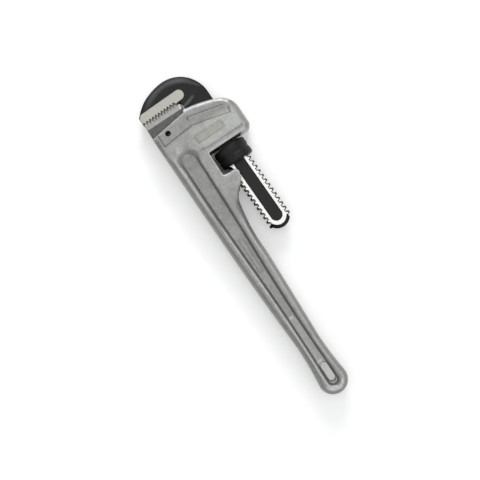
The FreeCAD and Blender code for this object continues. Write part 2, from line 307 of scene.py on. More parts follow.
def line_rows(corners: Sequence[Pair], offsets: Sequence[float], step: float) -> Array:
    """Points along a broken line and beside it.

    Args:
        corners: corners of the line.
        offsets: distances beside it, positive to its left.
        step: largest spacing along it.

    Returns:
        The points, one to a row.
    """
    found = []
    for start, end in zip(corners, corners[1:]):
        a, b = np.array(start, float), np.array(end, float)
        along = (b - a) / np.linalg.norm(b - a)
        beside = np.array([-along[1], along[0]])
        count = max(1, math.ceil(np.linalg.norm(b - a) / step))
        middle = a + (b - a) * (np.arange(count + 1) / count)[:, None]
        found += [middle + beside * offset for offset in offsets]
    return np.vstack(found)


def smooth_step(low: float, high: float, value: Array) -> Array:
    """Zero below low, one above high, and an easy S between them."""
    share = np.clip((value - low) / (high - low), 0, 1)
    return share * share * (3 - 2 * share)


def bell(value: Array, middle: float, width: float) -> Array:
    """One at the middle, falling off evenly on both sides."""
    return np.exp(-(((value - middle) / width) ** 2))


def box_gap(xy: Array, box: Box) -> Array:
    """How far points lie outside a box given by its middle and half sizes; negative inside."""
    x, y, half_x, half_y = box
    return np.maximum(np.abs(xy[:, 0] - x) - half_x, np.abs(xy[:, 1] - y) - half_y)


def box_corners(box: Box) -> list[Pair]:
    """Closed broken line round a box given by its middle and half sizes.

    Args:
        box: middle X and Y, then half sizes along X and Y.

    Returns:
        Its corners, the first of them again at the end.
    """
    x, y, half_x, half_y = box
    signs = ((-1, -1), (1, -1), (1, 1), (-1, 1), (-1, -1))
    return [(x + half_x * i, y + half_y * j) for i, j in signs]


def rounded_edge(distance: Array, across: Array, down: Array) -> Array:
    """How far an elliptical edge lies below the face, at a distance from the outline."""
    share = 1 - np.clip(distance / np.maximum(across, 1e-6), 0, 1)
    return down * (1 - np.sqrt(np.clip(1 - share**2, 0, 1)))


# ---------------------------------------------------------------- meshes


def to_row(points: Array, axes: Axes) -> Array:
    """Millimetres about the nut, along the given axes, to metres in the row frame.

    Args:
        points: millimetres about the nut.
        axes: the axes that they are drawn in.

    Returns:
        Metres in the row frame.
    """
    c, s = math.cos(axes.value), math.sin(axes.value)
    turned = points @ np.array([[c, s, 0], [-s, c, 0], [0, 0, 1]])
    return turned * MM + NUT_CENTRE


def put(name: str, data: bpy.types.ID) -> Object:
    """New object with its data, linked to the scene.

    Args:
        name: its name.
        data: its mesh, lamp or camera.

    Returns:
        The object.
    """
    thing = bpy.data.objects.new(name, data)
    bpy.context.scene.collection.objects.link(thing)
    return thing


def make_object(name: str, vertices: Array, faces: list | Array, axes: Axes) -> Object:
    """New mesh object at the origin, with its place in its mesh.

    Args:
        name: the piece's name.
        vertices: points in millimetres.
        faces: vertex numbers of each face.
        axes: the axes that the points are drawn in.

    Returns:
        The object, linked to the scene.
    """
    mesh = bpy.data.meshes.new(name)
    numbers = faces if isinstance(faces, list) else faces.tolist()
    mesh.from_pydata(to_row(vertices, axes).tolist(), [], numbers)
    mesh.validate()
    return put(name, mesh)


@dataclass
class Plate:
    """Solid with two mirrored faces over one flat outline, whose height is a function of place."""

    outline: Outline
    holes: Sequence[Outline]
    height: Height
    details: Sequence[Array]
    spacing: float = 1.6
    rounding_steps: int = 7
    creases: Sequence[Array] = ()
    edge_room: float = 0.08
    hole_room: float = 0.1
    least_height: float = 0.25

    def loops(self) -> list[Array]:
        """Closed lines that the triangles keep to: the outline, the holes and the creases."""
        return [self.outline.points] + [hole.points for hole in self.holes] + list(self.creases)

    def points(self) -> Array:
        """Loops, rounding rows, details and a staggered grid, thinned where they crowd.

        Returns:
            The points, with those of the loops first.
        """
        rows = [self.outline.rounding_rows(self.rounding_steps)]
        for hole in self.holes:
            rows.append(hole.rows([-0.15, -0.35, -0.8, -1.5]))
        low, high = self.outline.points.min(0), self.outline.points.max(0)
        xs = np.arange(low[0], high[0], self.spacing)
        ys = np.arange(low[1], high[1], self.spacing)
        grid = np.stack(np.meshgrid(xs, ys, indexing="ij"), -1)
        grid[1::2, :, 1] += self.spacing / 2
        inner = np.vstack(rows + list(self.details) + [grid.reshape(-1, 2)])
        keep = self.outline.measure(inner)[0] > self.edge_room
        for hole in self.holes:
            keep &= hole.measure(inner)[0] < -self.hole_room
        return np.vstack(self.loops() + [self._thinned(inner[keep])])

    def _thinned(self, points: Array, cell: float = 0.25) -> Array:
        """The first point in each small cell, so that loops and finer rows win over the grid.

        Args:
            points: the points, the more important ones first.
            cell: size of a cell.

        Returns:
            The points that are kept, in their old order.
        """

        def cells(places: Array) -> Array:
            """One number for the cell that each place lies in."""
            keys = np.round(places / cell).astype(np.int64)
            return keys[:, 0] * 1_000_003 + keys[:, 1]

        points = points[~np.isin(cells(points), cells(np.vstack(self.loops())))]
        _, first = np.unique(cells(points), return_index=True)
        return points[np.sort(first)]

    def build(self, name: str, axes: Axes, shear: Height | None = None) -> Object:
        """Triangulate the outline, lift both faces and close the sides with walls.

        Args:
            name: the piece's name.
            axes: the axes that it is drawn in.
            shear: shift of a point along X, from its place.

        Returns:
            The closed object.
        """
        points = self.points()
        edges, base = [], 0
        for loop in self.loops():
            count = len(loop)
            edges += [(base + i, base + (i + 1) % count) for i in range(count)]
            base += count
        flat, _, faces, *_ = delaunay_2d_cdt([Vector(p) for p in points], edges, [], 0, 1e-5, False)
        xy = np.array([tuple(p) for p in flat])
        triangles = np.array([f for f in faces if len(f) == 3])
        middle = xy[triangles].mean(1)
        keep = self.outline.measure(middle)[0] > 0
        for hole in self.holes:
            keep &= hole.measure(middle)[0] < 0
        triangles = triangles[keep]
        used, triangles = np.unique(triangles, return_inverse=True)
        triangles, xy = triangles.reshape(-1, 3), xy[used]
        a, b, c = (xy[triangles[:, i]] for i in range(3))
        (bx, by), (cx, cy) = (b - a).T, (c - a).T
        crossing = bx * cy - by * cx
        triangles[crossing < 0] = triangles[crossing < 0][:, ::-1]
        z = np.maximum(self.height(xy), self.least_height)
        count = len(xy)
        top = np.column_stack([xy, z])
        bottom = np.column_stack([xy, -z])
        sides = np.vstack([triangles[:, [0, 1]], triangles[:, [1, 2]], triangles[:, [2, 0]]])
        code = np.sort(sides, 1) @ np.array([count, 1])
        _, where, times = np.unique(code, return_index=True, return_counts=True)
        rim = sides[where[times == 1]]
        walls = np.vstack([
            np.column_stack([rim[:, 1], rim[:, 0], rim[:, 0] + count]),
            np.column_stack([rim[:, 1], rim[:, 0] + count, rim[:, 1] + count]),
        ])
        vertices = np.vstack([top, bottom])
        if shear is not None:
            vertices[:, 0] += shear(vertices)
        every = np.vstack([triangles, triangles[:, ::-1] + count, walls])
        return make_object(name, vertices, every, axes)


def box_tool(name: str, x: tuple, y: tuple, z: tuple) -> Object:
    """Closed box to cut with.

    Args:
        name: its name.
        x: both ends along X.
        y: both ends along Y.
        z: both ends along Z.

    Returns:
        The box.
    """
    corners = np.array([(i, j, k) for i in x for j in y for k in z], float)
    faces = [(0, 1, 3, 2), (4, 6, 7, 5), (0, 4, 5, 1), (2, 3, 7, 6), (0, 2, 6, 4), (1, 5, 7, 3)]
    return make_object(name, corners, faces, Axes.HANDLE)


def rod_tool(name: str, start: Sequence[float], end: Sequence[float], radius: float) -> Object:
    """Closed round bar to cut with, between the middles of its two ends.

    Args:
        name: its name.
        start: middle of its first end.
        end: middle of its other end.
        radius: its radius.

    Returns:
        The bar.
    """
    a, b = Vector(start), Vector(end)
    turn = (b - a).to_track_quat("Z", "Y").to_matrix()
    sides = 40
    angles = math.tau * np.arange(sides) / sides
    ring = np.column_stack([radius * np.cos(angles), radius * np.sin(angles), np.zeros(sides)])
    turned = ring @ np.array(turn).T
    vertices = np.vstack([turned + np.array(a), turned + np.array(b)])
    faces = [(i, (i + 1) % sides, (i + 1) % sides + sides, i + sides) for i in range(sides)]
    faces += [tuple(range(sides - 1, -1, -1)), tuple(range(sides, 2 * sides))]
    return make_object(name, vertices, faces, Axes.HANDLE)


def cut_away(thing: Object, tools: Sequence[Object]) -> None:
    """Cut closed tools out of a closed piece, and remove the tools.

    Args:
        thing: the piece.
        tools: the closed shapes to cut with.
    """
    for tool in tools:
        cut = thing.modifiers.new(tool.name, "BOOLEAN")
        cut.operation = "DIFFERENCE"
        cut.solver = "MANIFOLD"
        cut.object = tool
    bpy.context.view_layer.update()
    shape = thing.evaluated_get(bpy.context.evaluated_depsgraph_get())
    mesh = bpy.data.meshes.new_from_object(shape)
    thing.modifiers.clear()
    old, thing.data = thing.data, mesh
    bpy.data.meshes.remove(old)
    mesh.name = thing.name
    for tool in tools:
        bpy.data.objects.remove(tool)


def shade(thing: Object, sharp_above: float = 38.0) -> None:
    """Smooth shading, with edges sharp where faces meet at a larger angle in degrees."""
    thing.data.shade_smooth()
    thing.data.set_sharp_from_angle(angle=math.radians(sharp_above))


def dress(thing: Object, material: Material) -> None:
    """Give a piece one material."""
    thing.data.materials.clear()
    thing.data.materials.append(material)


def turned_grid(name: str, radius: Array, along: Array, angles: Array) -> Object:
    """Ring-shaped closed surface about the shank's axis.

    Row i of radius and along is one closed section at angles[i], measured from +Y towards +Z.

    Args:
        name: the piece's name.
        radius: distances from the axis.
        along: places along the axis.
        angles: one angle for each section.

    Returns:
        The ring.
    """
    turns, section = radius.shape
    y = radius * np.cos(angles)[:, None]
    z = radius * np.sin(angles)[:, None]
    vertices = np.stack([along, y, z], -1).reshape(-1, 3)
    i, j = np.meshgrid(np.arange(turns), np.arange(section), indexing="ij")
    i2, j2 = (i + 1) % turns, (j + 1) % section
    corners = [i * section + j, i * section + j2, i2 * section + j2, i2 * section + j]
    return make_object(name, vertices, np.stack(corners, -1).reshape(-1, 4), Axes.SHANK)


# ---------------------------------------------------------------- finishes


def linear(code: str) -> tuple[float, ...]:
    """Linear colour from an sRGB hex code: each channel goes through the sRGB curve.

    Args:
        code: a hash sign and six hex digits.

    Returns:
        Red, green and blue, and full opacity.
    """
    channels = [int(code[i:i + 2], 16) / 255 for i in (1, 3, 5)]
    flat = [c / 12.92 if c <= 0.04045 else ((c + 0.055) / 1.055) ** 2.4 for c in channels]
    return (*flat, 1.0)


USUAL_SETTINGS = {
    "Mix": {"data_type": "RGBA"},
    "Attribute": {"output": 2},     # the output that holds one number
    "TexCoord": {"output": 3},      # object coordinates
    "TexGradient": {"output": 1},   # the grey value
}


def add(tree: NodeTree, kind: str, *values: object, **named: object) -> NodeSocket | None:
    """Add a node with its settings and links.

    Args:
        tree: where the node goes.
        kind: the node's type, without the common start of its name.
        values: for the inputs in use, in their order: a socket is linked, anything else is set.
        named: settings of the node in small letters; inputs by name, which start with a capital;
            and output, the number of the wanted output of those in use.

    Returns:
        The output, if the node has one.
    """
    node = tree.nodes.new("ShaderNode" + kind)
    named = USUAL_SETTINGS.get(kind, {}) | named
    output = named.pop("output", 0)
    for name, value in named.items():
        if name[0].islower():
            setattr(node, name, value)
    inputs = [socket for socket in node.inputs if socket.enabled]
    wanted = list(zip(inputs, values))
    for name, value in named.items():
        if name[0].isupper():
            wanted.append((next(socket for socket in inputs if socket.name == name), value))
    for socket, value in wanted:
        if isinstance(value, NodeSocket):
            tree.links.new(value, socket)
        else:
            socket.default_value = value
    outputs = [socket for socket in node.outputs if socket.enabled]
    return outputs[output] if outputs else None


def per_metre(size_mm: float) -> float:
    """Noise scale whose features are about one size across, on coordinates in metres."""
    return 1 / (size_mm * MM)


@dataclass(frozen=True)
class Finish:
    """A material's name, and what every finish starts and ends with."""

    name: str

    def start(self) -> tuple[Material, Adder]:
        """Empty material, and the function that adds to it.

        Returns:
            Both of them.
        """
        material = bpy.data.materials.new(self.name)
        material.use_nodes = True
        material.node_tree.nodes.clear()
        return material, partial(add, material.node_tree)

    @staticmethod
    def place(node: Adder, turn: float = LEAN, stretch: tuple = (1, 1, 1)) -> NodeSocket:
        """Object coordinates about the nut, turned to the shank's axes and stretched.

        Args:
            node: the function that adds to the material.
            turn: angle about Z, in radians.
            stretch: scale along each axis.

        Returns:
            The turned and stretched coordinates.
        """
        source = node("TexCoord")
        moved = node("Mapping", source, tuple(NUT_CENTRE), (0, 0, turn), vector_type="TEXTURE")
        return node("Mapping", moved, Scale=stretch)

    @staticmethod
    def surface(node: Adder, values: dict[str, object]) -> None:
        """Principled shader with its values and links, joined to the output."""
        node("OutputMaterial", node("BsdfPrincipled", **values))


@dataclass(frozen=True)
class BlastedCastAlloy(Finish):
    """Cast aluminium alloy, bead blasted and thinly lacquered: an even, softly glinting grey."""

    name: str = "blasted_cast_alloy"
    tone: str = "#959693"
    shade_tone: str = "#8b8c89"
    wear_and_highlight_tone: str = "#e2e2df"
    mark_tone: str = "#7f7f78"
    grain_mm: float = 0.8       # blasting is finer than this; coarser here so that it shows
    mottle_mm: float = 9.0

    def make(self) -> Material:
        """Grey with slow mottling, edge wear with painted highlights, painted shade, and a fine
        blasted grain.

        Returns:
            The material.
        """
        material, node = self.start()
        place = self.place(node)
        clouds = node("TexNoise", place, per_metre(self.mottle_mm), 4.0)
        mottle = node("MapRange", clouds, 0.35, 0.68)
        colour = node("Mix", mottle, linear(self.shade_tone), linear(self.tone))
        patches = node("TexNoise", place, per_metre(2.2), 3.0)
        patchy = node("Math", patches, 0.7, 0.4, operation="MULTIPLY_ADD")
        # Painted highlights on the casting's crests, bevels and rims, in a near-white tone; on the
        # rims they also stand for wear.
        edge = node("Attribute", attribute_name="edge_wear_and_highlight")
        wear_and_highlight = node("Math", edge, patchy, operation="MULTIPLY")
        colour = node("Mix", wear_and_highlight, colour, linear(self.wear_and_highlight_tone))
        mark = node("Attribute", attribute_name="name_panel")
        colour = node("Mix", mark, colour, linear(self.mark_tone))
        grain = node("TexNoise", place, per_metre(self.grain_mm), 2.0)
        specks = node("Math", grain, node("TexNoise", place, per_metre(2.0), 2.0), operation="ADD")
        speck = node("MapRange", specks, 0.65, 1.35, -0.18, 0.18)
        # Tone changes, with a painted highlight and painted shade in the scoop, and darker engraved
        # grooves.
        tone_and_painted_light = node("Attribute", attribute_name="tone_and_painted_light")
        tones = node("Math", tone_and_painted_light, 0.42, 0.86, operation="MULTIPLY_ADD")
        clean = node("Math", speck, tones, operation="ADD")
        # Painted shade on the window's walls and inside the shank's passage.
        painted_window_shade = node("Attribute", attribute_name="painted_window_shade")
        darker = node("MapRange", painted_window_shade, 0.0, 1.0, 1.0, 0.1)
        value = node("Math", clean, darker, operation="MULTIPLY")
        swell = node("TexNoise", place, per_metre(6.0), 2.0)
        wavy = node("Bump", Height=swell, Distance=0.25 * MM, Strength=0.35)
        uneven = node("TexNoise", place, per_metre(3.0), 3.0)
        self.surface(node, {
            "Base Color": node("HueSaturation", Color=colour, Value=value),
            "Metallic": 0.72,
            "Roughness": node("MapRange", uneven, 0.3, 0.7, 0.42, 0.54),
            "Coat Weight": 0.12,
            "Coat Roughness": 0.35,
            "Normal": node("Bump", Height=grain, Distance=0.06 * MM, Strength=0.5, Normal=wavy),
        })
        return material


@dataclass(frozen=True)
class HeatTreatedSteel(Finish):
    """Hardened tool steel of the heel jaw: dull grey and blotchy, with paler ground bevels that
    carry a painted highlight.
    """

    name: str = "heat_treated_steel"
    tone: str = "#5f5f5e"
    blotch: str = "#4c4b4a"
    oiled: str = "#514a3f"
    ground: str = "#b4b4b1"
    ground_shade: str = "#9f9f9c"
    bevel_from_mm: float = 73.9
    lower_end_mm: float = 22.0

    def make(self) -> Material:
        """Blotchy body, with the ground bevels told apart by their place on the jaw and painted
        paler as a highlight.

        Returns:
            The material.
        """
        material, node = self.start()
        about = self.place(node, 0.0)
        blotches = node("MapRange", node("TexNoise", about, per_metre(5.0), 5.0, 0.6), 0.38, 0.66)
        colour = node("Mix", blotches, linear(self.blotch), linear(self.tone))
        oil = node("MapRange", node("TexNoise", about, per_metre(7.0), 3.0), 0.55, 0.72, 0.0, 0.5)
        colour = node("Mix", oil, colour, linear(self.oiled))
        along, up = (node("SeparateXYZ", about, output=axis) for axis in (0, 1))
        # The bevels by the teeth and at the lower end are ground steel, painted paler as a
        # highlight where they face the light.
        bevel, end, blur = self.bevel_from_mm * MM, self.lower_end_mm * MM, 0.2 * MM
        on_bevel = node("MapRange", along, bevel - blur, bevel + blur)
        on_end = node("MapRange", up, end + blur, end - blur)
        ground = node("Math", on_bevel, on_end, operation="MAXIMUM")
        grinding = node("TexNoise", self.place(node, 0.0, (1, 0.08, 1)), per_metre(0.35), 2.0)
        lines = node("MapRange", grinding, 0.3, 0.7)
        bright = node("Mix", lines, linear(self.ground_shade), linear(self.ground))
        pits = node("TexNoise", about, per_metre(0.5), 3.0)
        fine = node("Bump", Height=pits, Distance=0.05 * MM, Strength=0.4)
        self.surface(node, {
            "Base Color": node("Mix", ground, colour, bright),
            "Metallic": 0.85,
            "Roughness": node("MapRange", blotches, 0.0, 1.0, 0.38, 0.5),
            "Normal": node("Bump", Height=grinding, Distance=0.03 * MM, Strength=0.35, Normal=fine),
        })
        return material


@dataclass(frozen=True)
class BlackForging(Finish):
    """Drop-forged steel, oxidised nearly black with a painted sheen, ground bright on its flats."""

    name: str = "black_oxide_forging"
    tone: str = "#09090a"
    wear_and_highlight_tone: str = "#767678"
    ground: str = "#cccbc8"
    ground_line: str = "#a8a7a2"
    pad: str = "#989790"

    def make(self) -> Material:
        """Black scale with small pits, ground steel where the flats were faced, and a painted sheen
        and highlight on the head.

        Returns:
            The material.
        """
        material, node = self.start()
        place = self.place(node)
        border, pad = (
            node("MapRange", node("Attribute", attribute_name=name), 0.4, 0.6)
            for name in ("ground_border", "ground_pad")
        )
        ground = node("Math", border, pad, operation="MAXIMUM")
        scale = node("MapRange", node("TexNoise", place, per_metre(2.5), 5.0, 0.65), 0.42, 0.75)
        patches = node("MapRange", node("TexNoise", place, per_metre(1.6), 3.0), 0.2, 0.7, 0.5, 1.0)
        # Painted sheen and painted highlight on the head in a grey tone, over a slight random
        # greying of the scale.
        edge = node("Attribute", attribute_name="edge_wear_and_highlight")
        rubbed_and_highlit = node("Math", edge, patches, operation="MULTIPLY")
        rubbed_and_highlit = node("Math", scale, 0.06, rubbed_and_highlit, operation="MULTIPLY_ADD")
        black = node("Mix", rubbed_and_highlit, linear(self.tone), linear(self.wear_and_highlight_tone))
        grinding = node("TexNoise", self.place(node, LEAN, (0.06, 1, 1)), per_metre(0.3), 2.0)
        lines = node("MapRange", grinding, 0.3, 0.7, 0.0, 0.25)
        bright = node("Mix", pad, linear(self.ground), linear(self.pad))
        bright = node("Mix", lines, bright, linear(self.ground_line))
        pits = node("TexNoise", place, per_metre(0.8), 4.0, 0.6)
        pitted = node("Bump", Height=pits, Distance=0.10 * MM, Strength=0.45)
        self.surface(node, {
            "Base Color": node("Mix", ground, black, bright),
            "Metallic": ground,
            "Roughness": node("MapRange", scale, 0.0, 1.0, 0.35, 0.46),
            "Specular IOR Level": 0.22,
            "Normal": node(
                "Bump", Height=grinding, Distance=0.02 * MM, Strength=0.3, Normal=pitted
            ),
        })
        return material


@dataclass(frozen=True)
class BlackKnurledSteel(Finish):
    """Turned and knurled steel, black oxidised, rubbed to grey on the crests of the knurl."""

    name: str = "black_knurled_steel"
    tone: str = "#101011"
    wear_and_highlight_tone: str = "#2f2f31"

    def make(self) -> Material:
        """Black, with greyer crests where fingers turn it.

        Returns:
            The material.
        """
        material, node = self.start()
        place = self.place(node)
        clouds = node("TexNoise", place, per_metre(5.0), 3.0)
        patches = node("MapRange", clouds, 0.35, 0.65, 0.3, 0.9)
        crest = node("Attribute", attribute_name="edge_wear_and_highlight")
        rubbed_and_highlit = node("Math", crest, patches, operation="MULTIPLY")
        grain = node("TexNoise", place, per_metre(0.6), 3.0)
        self.surface(node, {
            "Base Color": node("Mix", rubbed_and_highlit, linear(self.tone), linear(self.wear_and_highlight_tone)),
            "Roughness": node("MapRange", rubbed_and_highlit, 0.0, 1.0, 0.46, 0.36),
            "Specular IOR Level": 0.22,
            "Normal": node("Bump", Height=grain, Distance=0.05 * MM, Strength=0.4),
        })
        return material


@dataclass(frozen=True)
class PlainSteel(Finish):
    """Small hidden steel part, oiled: one dark tone with faint drawn lines."""

    name: str = "oiled_spring_steel"
    tone: str = "#3c3d42"
    dark: str = "#2a2a2d"
    roughness: float = 0.34

    def make(self) -> Material:
        """Dark steel with a slow change of tone and a fine grain.

        Returns:
            The material.
        """
        material, node = self.start()
        place = self.place(node)
        tones = node("MapRange", node("TexNoise", place, per_metre(3.0), 3.0), 0.35, 0.65)
        grain = node("TexNoise", place, per_metre(0.4), 2.0)
        self.surface(node, {
            "Base Color": node("Mix", tones, linear(self.dark), linear(self.tone)),
            "Metallic": 0.9,
            "Roughness": self.roughness,
            "Normal": node("Bump", Height=grain, Distance=0.03 * MM, Strength=0.3),
        })
        return material


def set_attribute(thing: Object, name: str, values: Array) -> None:
    """Store one number from nothing to one at each point, for the finish to read."""
    attribute = thing.data.attributes.new(name, "FLOAT", "POINT")
    attribute.data.foreach_set("value", np.clip(values, 0, 1).astype(np.float32))


def drawn_points(thing: Object, axes: Axes) -> Array:
    """A mesh's points, back in millimetres about the nut.

    Args:
        thing: the piece.
        axes: the axes that it was drawn in.

    Returns:
        Its points, in millimetres.
    """
    flat = np.empty(len(thing.data.vertices) * 3, np.float32)
    thing.data.vertices.foreach_get("co", flat)
    c, s = math.cos(axes.value), math.sin(axes.value)
    turned = (flat.reshape(-1, 3).astype(float) - NUT_CENTRE) / MM
    return turned @ np.array([[c, -s, 0], [s, c, 0], [0, 0, 1]])


# ---------------------------------------------------------------- handle and collar


@dataclass
class Housing:
    """The light-alloy casting: handle, collar, window, shank passage and heel seat."""

    face: float = 21.0
    handle_face: float = 13.0
    middle_face: float = 16.4
    taper_at: tuple = (-120.0, -70.0, -28.0)
    web: float = 4.0
    web_at: tuple = (-115.0, -60.0, -20.0, 8.0, 24.0, 36.0)
    web_rise: tuple = (6.2, 10.2, 14.4, 18.2, 20.6)
    wall_at: tuple = (-284.0, -276.0, -60.0, -10.0, 14.0, 26.0, 40.0)
    wall_width: tuple = (6.0, 4.6, 4.6, 4.2, 4.6, 8.0, 9.0)
    plateau: float = 6.0
    slot_floor: float = 7.5
    pin_hole: Pair = (57.3, 49.2)
    pin_hole_radius: float = 3.25
    groove_depth: float = 0.55
    panel: tuple = ((46.8, 60.2), (48.5, 41.0), (50.2, 21.9), (38.9, -22.4), (45.6, -23.9))
    panel_top: tuple = ((47.0, 60.2), (61.0, 60.2))
    rib: tuple = ((57.6, 22.6), (60.9, 21.9), (50.7, -20.0))
    faint_rib: tuple = ((56.4, 20.0), (46.6, -20.0))
    window_bead: tuple = ((20.5, 27.5), (19.2, 21.0), (19.2, -24.0), (21.0, -27.0))

    # Lines that carry painted highlights: the collar's slanted edge and the window's lower edge.
    bright_edge: tuple = (
        (52.0, -26.6), (56.6, -22.2), (60.4, -14.0), (64.2, -1.4), (67.2, 10.0), (69.0, 20.0),
    )
    window_rim: tuple = ((-17.4, 10.5), (-17.4, 21.5))
    name_plate: tuple = (33.5, 9.0, 4.6, 17.5)
    raised_bar: tuple = (-108.0, 47.4, 22.0, 2.4)

    def outline(self) -> Outline:
        """Silhouette of the casting, with the rounding of each edge.

        Returns:
            The outline.
        """
        flank = {"across": 6.6, "down": 9.0}
        return Outline((61.3, 67.7), [
            Leg((30.0, 67.5), None, 5.5, 5.0),
            Leg((-61.0, 66.8), None, **flank),
            Leg((-226.0, 61.8), (-145.0, 65.1), **flank),
            Leg((-277.0, 64.9), (-252.0, 62.6), **flank),
            Leg((-277.0, 30.3), (-294.3, 47.6), **flank),
            Leg((-226.0, 33.4), (-252.0, 32.6), **flank),
            Leg((-112.5, 29.6), (-170.0, 31.3), **flank),
            Leg((-49.6, 24.3), (-78.0, 28.9), 6.0, 9.0),
            Leg((-38.3, 16.4), (-43.5, 21.2), 3.6, 7.0),
            Leg((-32.7, 11.3), None, 2.6, 3.0),
            Leg((-23.6, 6.2), (-28.4, 8.2), 1.8, 2.0),
            Leg((-16.5, 11.0), (-18.4, 6.6), 2.2, 2.0),
            Leg((-15.9, 21.2), None, 3.2, 2.4),
            Leg((-14.4, 22.7), (-15.46, 22.26), 1.6, 1.2),
            Leg((11.9, 22.7), None, 1.0, 0.9),
            Leg((13.4, 21.2), (12.96, 22.26), 1.6, 1.2),
            Leg((13.4, -28.0), None, 2.6, 1.8),
            Leg((19.4, -34.0), (15.16, -32.24), 7.0, 7.5),
            Leg((38.3, -34.0), None, 7.8, 8.0),
            Leg((58.4, -23.6), (49.6, -31.24), 6.5, 6.5),
            Leg((71.1, 20.8), (66.6, -1.6), 4.2, 4.0),
            Leg((67.5, 22.6), None, 1.0, 0.8),
            Leg((61.3, 65.5), None, 0.7, 0.6),
            Leg((61.3, 67.7), None, 1.0, 1.0),
        ], 1.1)

    @staticmethod
    def recess() -> Outline:
        """Foot line of the long recess, round the hang slot and up to the scoop.

        Returns:
            The outline.
        """
        return Outline((14.0, 54.4), [
            Leg((-130.0, 52.5), (-60.0, 54.0)),
            Leg((-236.0, 51.6), (-190.0, 51.4)),
            Leg((-262.0, 52.3), (-250.0, 51.8)),
            Leg((-276.4, 52.3)),
            Leg((-276.4, 42.5), (-281.3, 47.4)),
            Leg((-262.0, 42.5)),
            Leg((-236.0, 43.4), (-250.0, 43.0)),
            Leg((-130.0, 42.6), (-190.0, 43.6)),
            Leg((14.0, 38.4), (-60.0, 40.2)),
            Leg((26.0, 46.4), (22.5, 40.6)),
            Leg((14.0, 54.4), (22.5, 52.2)),
        ], 1.3)

    def thickness(self, x: Array) -> Array:
        """Half the thickness, eased from the collar's face down to the handle's.

        Args:
            x: places along the handle.

        Returns:
            One height for each place.
        """
        shifts = np.linspace(-9, 9, 9)
        levels = (self.handle_face, self.middle_face, self.face)
        return np.mean([np.interp(x + shift, self.taper_at, levels) for shift in shifts], axis=0)

    def floor(self, x: Array) -> Array:
        """Half the web's thickness along the recess.

        Args:
            x: places along the handle.

        Returns:
            One height for each place.
        """
        base = np.interp(x, self.web_at, (self.web, *self.web_rise))
        base = base + (self.plateau - self.web) * smooth_step(-189.0, -194.0, x)
        return base + (self.slot_floor - self.plateau) * smooth_step(-249.5, -254.0, x)

    def height(self, outline: Outline, recess: Outline, slot: Outline) -> Height:
        """The face's height: the least of the rounded edges and the recess, with grooves cut in.

        Args:
            outline: the silhouette.
            recess: foot line of the recess.
            slot: the hang slot.

        Returns:
            A function that gives the height at points.
        """

        def at(xy: Array) -> Array:
            """Height of the face at places in the outline's plane.

            Args:
                xy: the places.

            Returns:
                One height for each place.
            """
            x = xy[:, 0]
            distance, across, down = outline.measure(xy)
            top = self.thickness(x)
            surface = top - rounded_edge(distance, across, down)
            into = -recess.measure(xy)[0]
            width = np.interp(x, self.wall_at, self.wall_width)
            share = np.clip(into / width, 0, 1)
            steep = 1 - (1 - share) ** 3.8
            soft = smooth_step(0, 1, share)
            scoop = smooth_step(8, 27, x)
            floor = self.floor(x)
            recessed = floor + (top - floor) * (steep * (1 - scoop) + soft * scoop)
            surface = np.minimum(surface, recessed)
            rim = -slot.measure(xy)[0]
            surface = surface - rounded_edge(rim, np.full(len(xy), 1.1), np.full(len(xy), 1.0))
            for line, depth, half_width in self.grooves():
                gap = distance_to_line(xy, line)
                surface = surface - depth * bell(gap, 0.0, half_width)
            surface = surface - 0.28 * bell(box_gap(xy, self.name_plate), 0.0, 0.45)
            return surface + 0.35 * smooth_step(0.5, -0.5, box_gap(xy, self.raised_bar))

        return at

    def grooves(self) -> list[tuple[tuple, float, float]]:
        """The engraved lines on the collar: corners, depth and half width.

        Returns:
            A line, its depth and its half width for each of them.
        """
        return [
            (self.panel, self.groove_depth, 0.62),
            (self.panel_top, self.groove_depth, 0.55),
            (self.rib, self.groove_depth, 0.62),
            (self.faint_rib, 0.14, 0.8),
            (self.window_bead, 0.75, 1.15),
        ]

    def details(self, recess: Outline) -> list[Array]:
        """Rows of points where the face changes quickly.

        Args:
            recess: foot line of the recess.

        Returns:
            One set of points for each row.
        """
        rows = [recess.rows([0.6, -0.3, -0.65, -1.1, -1.7, -2.5, -3.5, -5.0])]
        beside = (-1.5, -0.9, -0.45, 0.0, 0.45, 0.9, 1.5)
        rows += [line_rows(line, beside, 0.8) for line, _, _ in self.grooves()]
        rows.append(line_rows(box_corners(self.name_plate), (-0.8, -0.4, 0.0, 0.4, 0.8), 0.8))
        rows.append(line_rows(box_corners(self.raised_bar), (-0.7, -0.3, 0.3, 0.7), 1.0))
        for step_x in (-194.0, -192.5, -191.0, -189.0, -254.0, -252.5, -251.0, -249.5):
            rows.append(line_rows(((step_x, 42.0), (step_x, 53.0)), (0.0,), 0.9))
        return rows

    def tools(self) -> list[Object]:
        """What is cut through the casting: passage, lip slot, heel slot and the springs' space.

        Returns:
            The closed shapes.
        """
        pin = np.array(JOINTS["jaw_rock"]["pos_m"])
        pin_x, pin_y, _ = (pin - NUT_CENTRE) / MM
        return [
            box_tool("passage", (5.0, 90.0), (-18.6, 18.2), (-9.3, 9.3)),
            box_tool("lip_slot", (-62.0, -10.0), (-10.0, 18.5), (-9.29, 9.29)),
            box_tool("heel_slot", (49.0, 90.0), (22.9, 64.6), (-10.05, 10.05)),
            box_tool("spring_relief", (16.5, 56.0), (-20.3, -15.0), (-7.0, 7.0)),
            rod_tool("eye_room", (pin_x, pin_y, -7.0), (pin_x, pin_y, 7.0), 4.3),
            rod_tool("pin_room", (pin_x, pin_y, -24.0), (pin_x, pin_y, 12.0), 2.03),
            rod_tool("coil_pocket", (44.0, -29.5, 0.0), (44.0, -14.5, 0.0), 5.2),
        ]

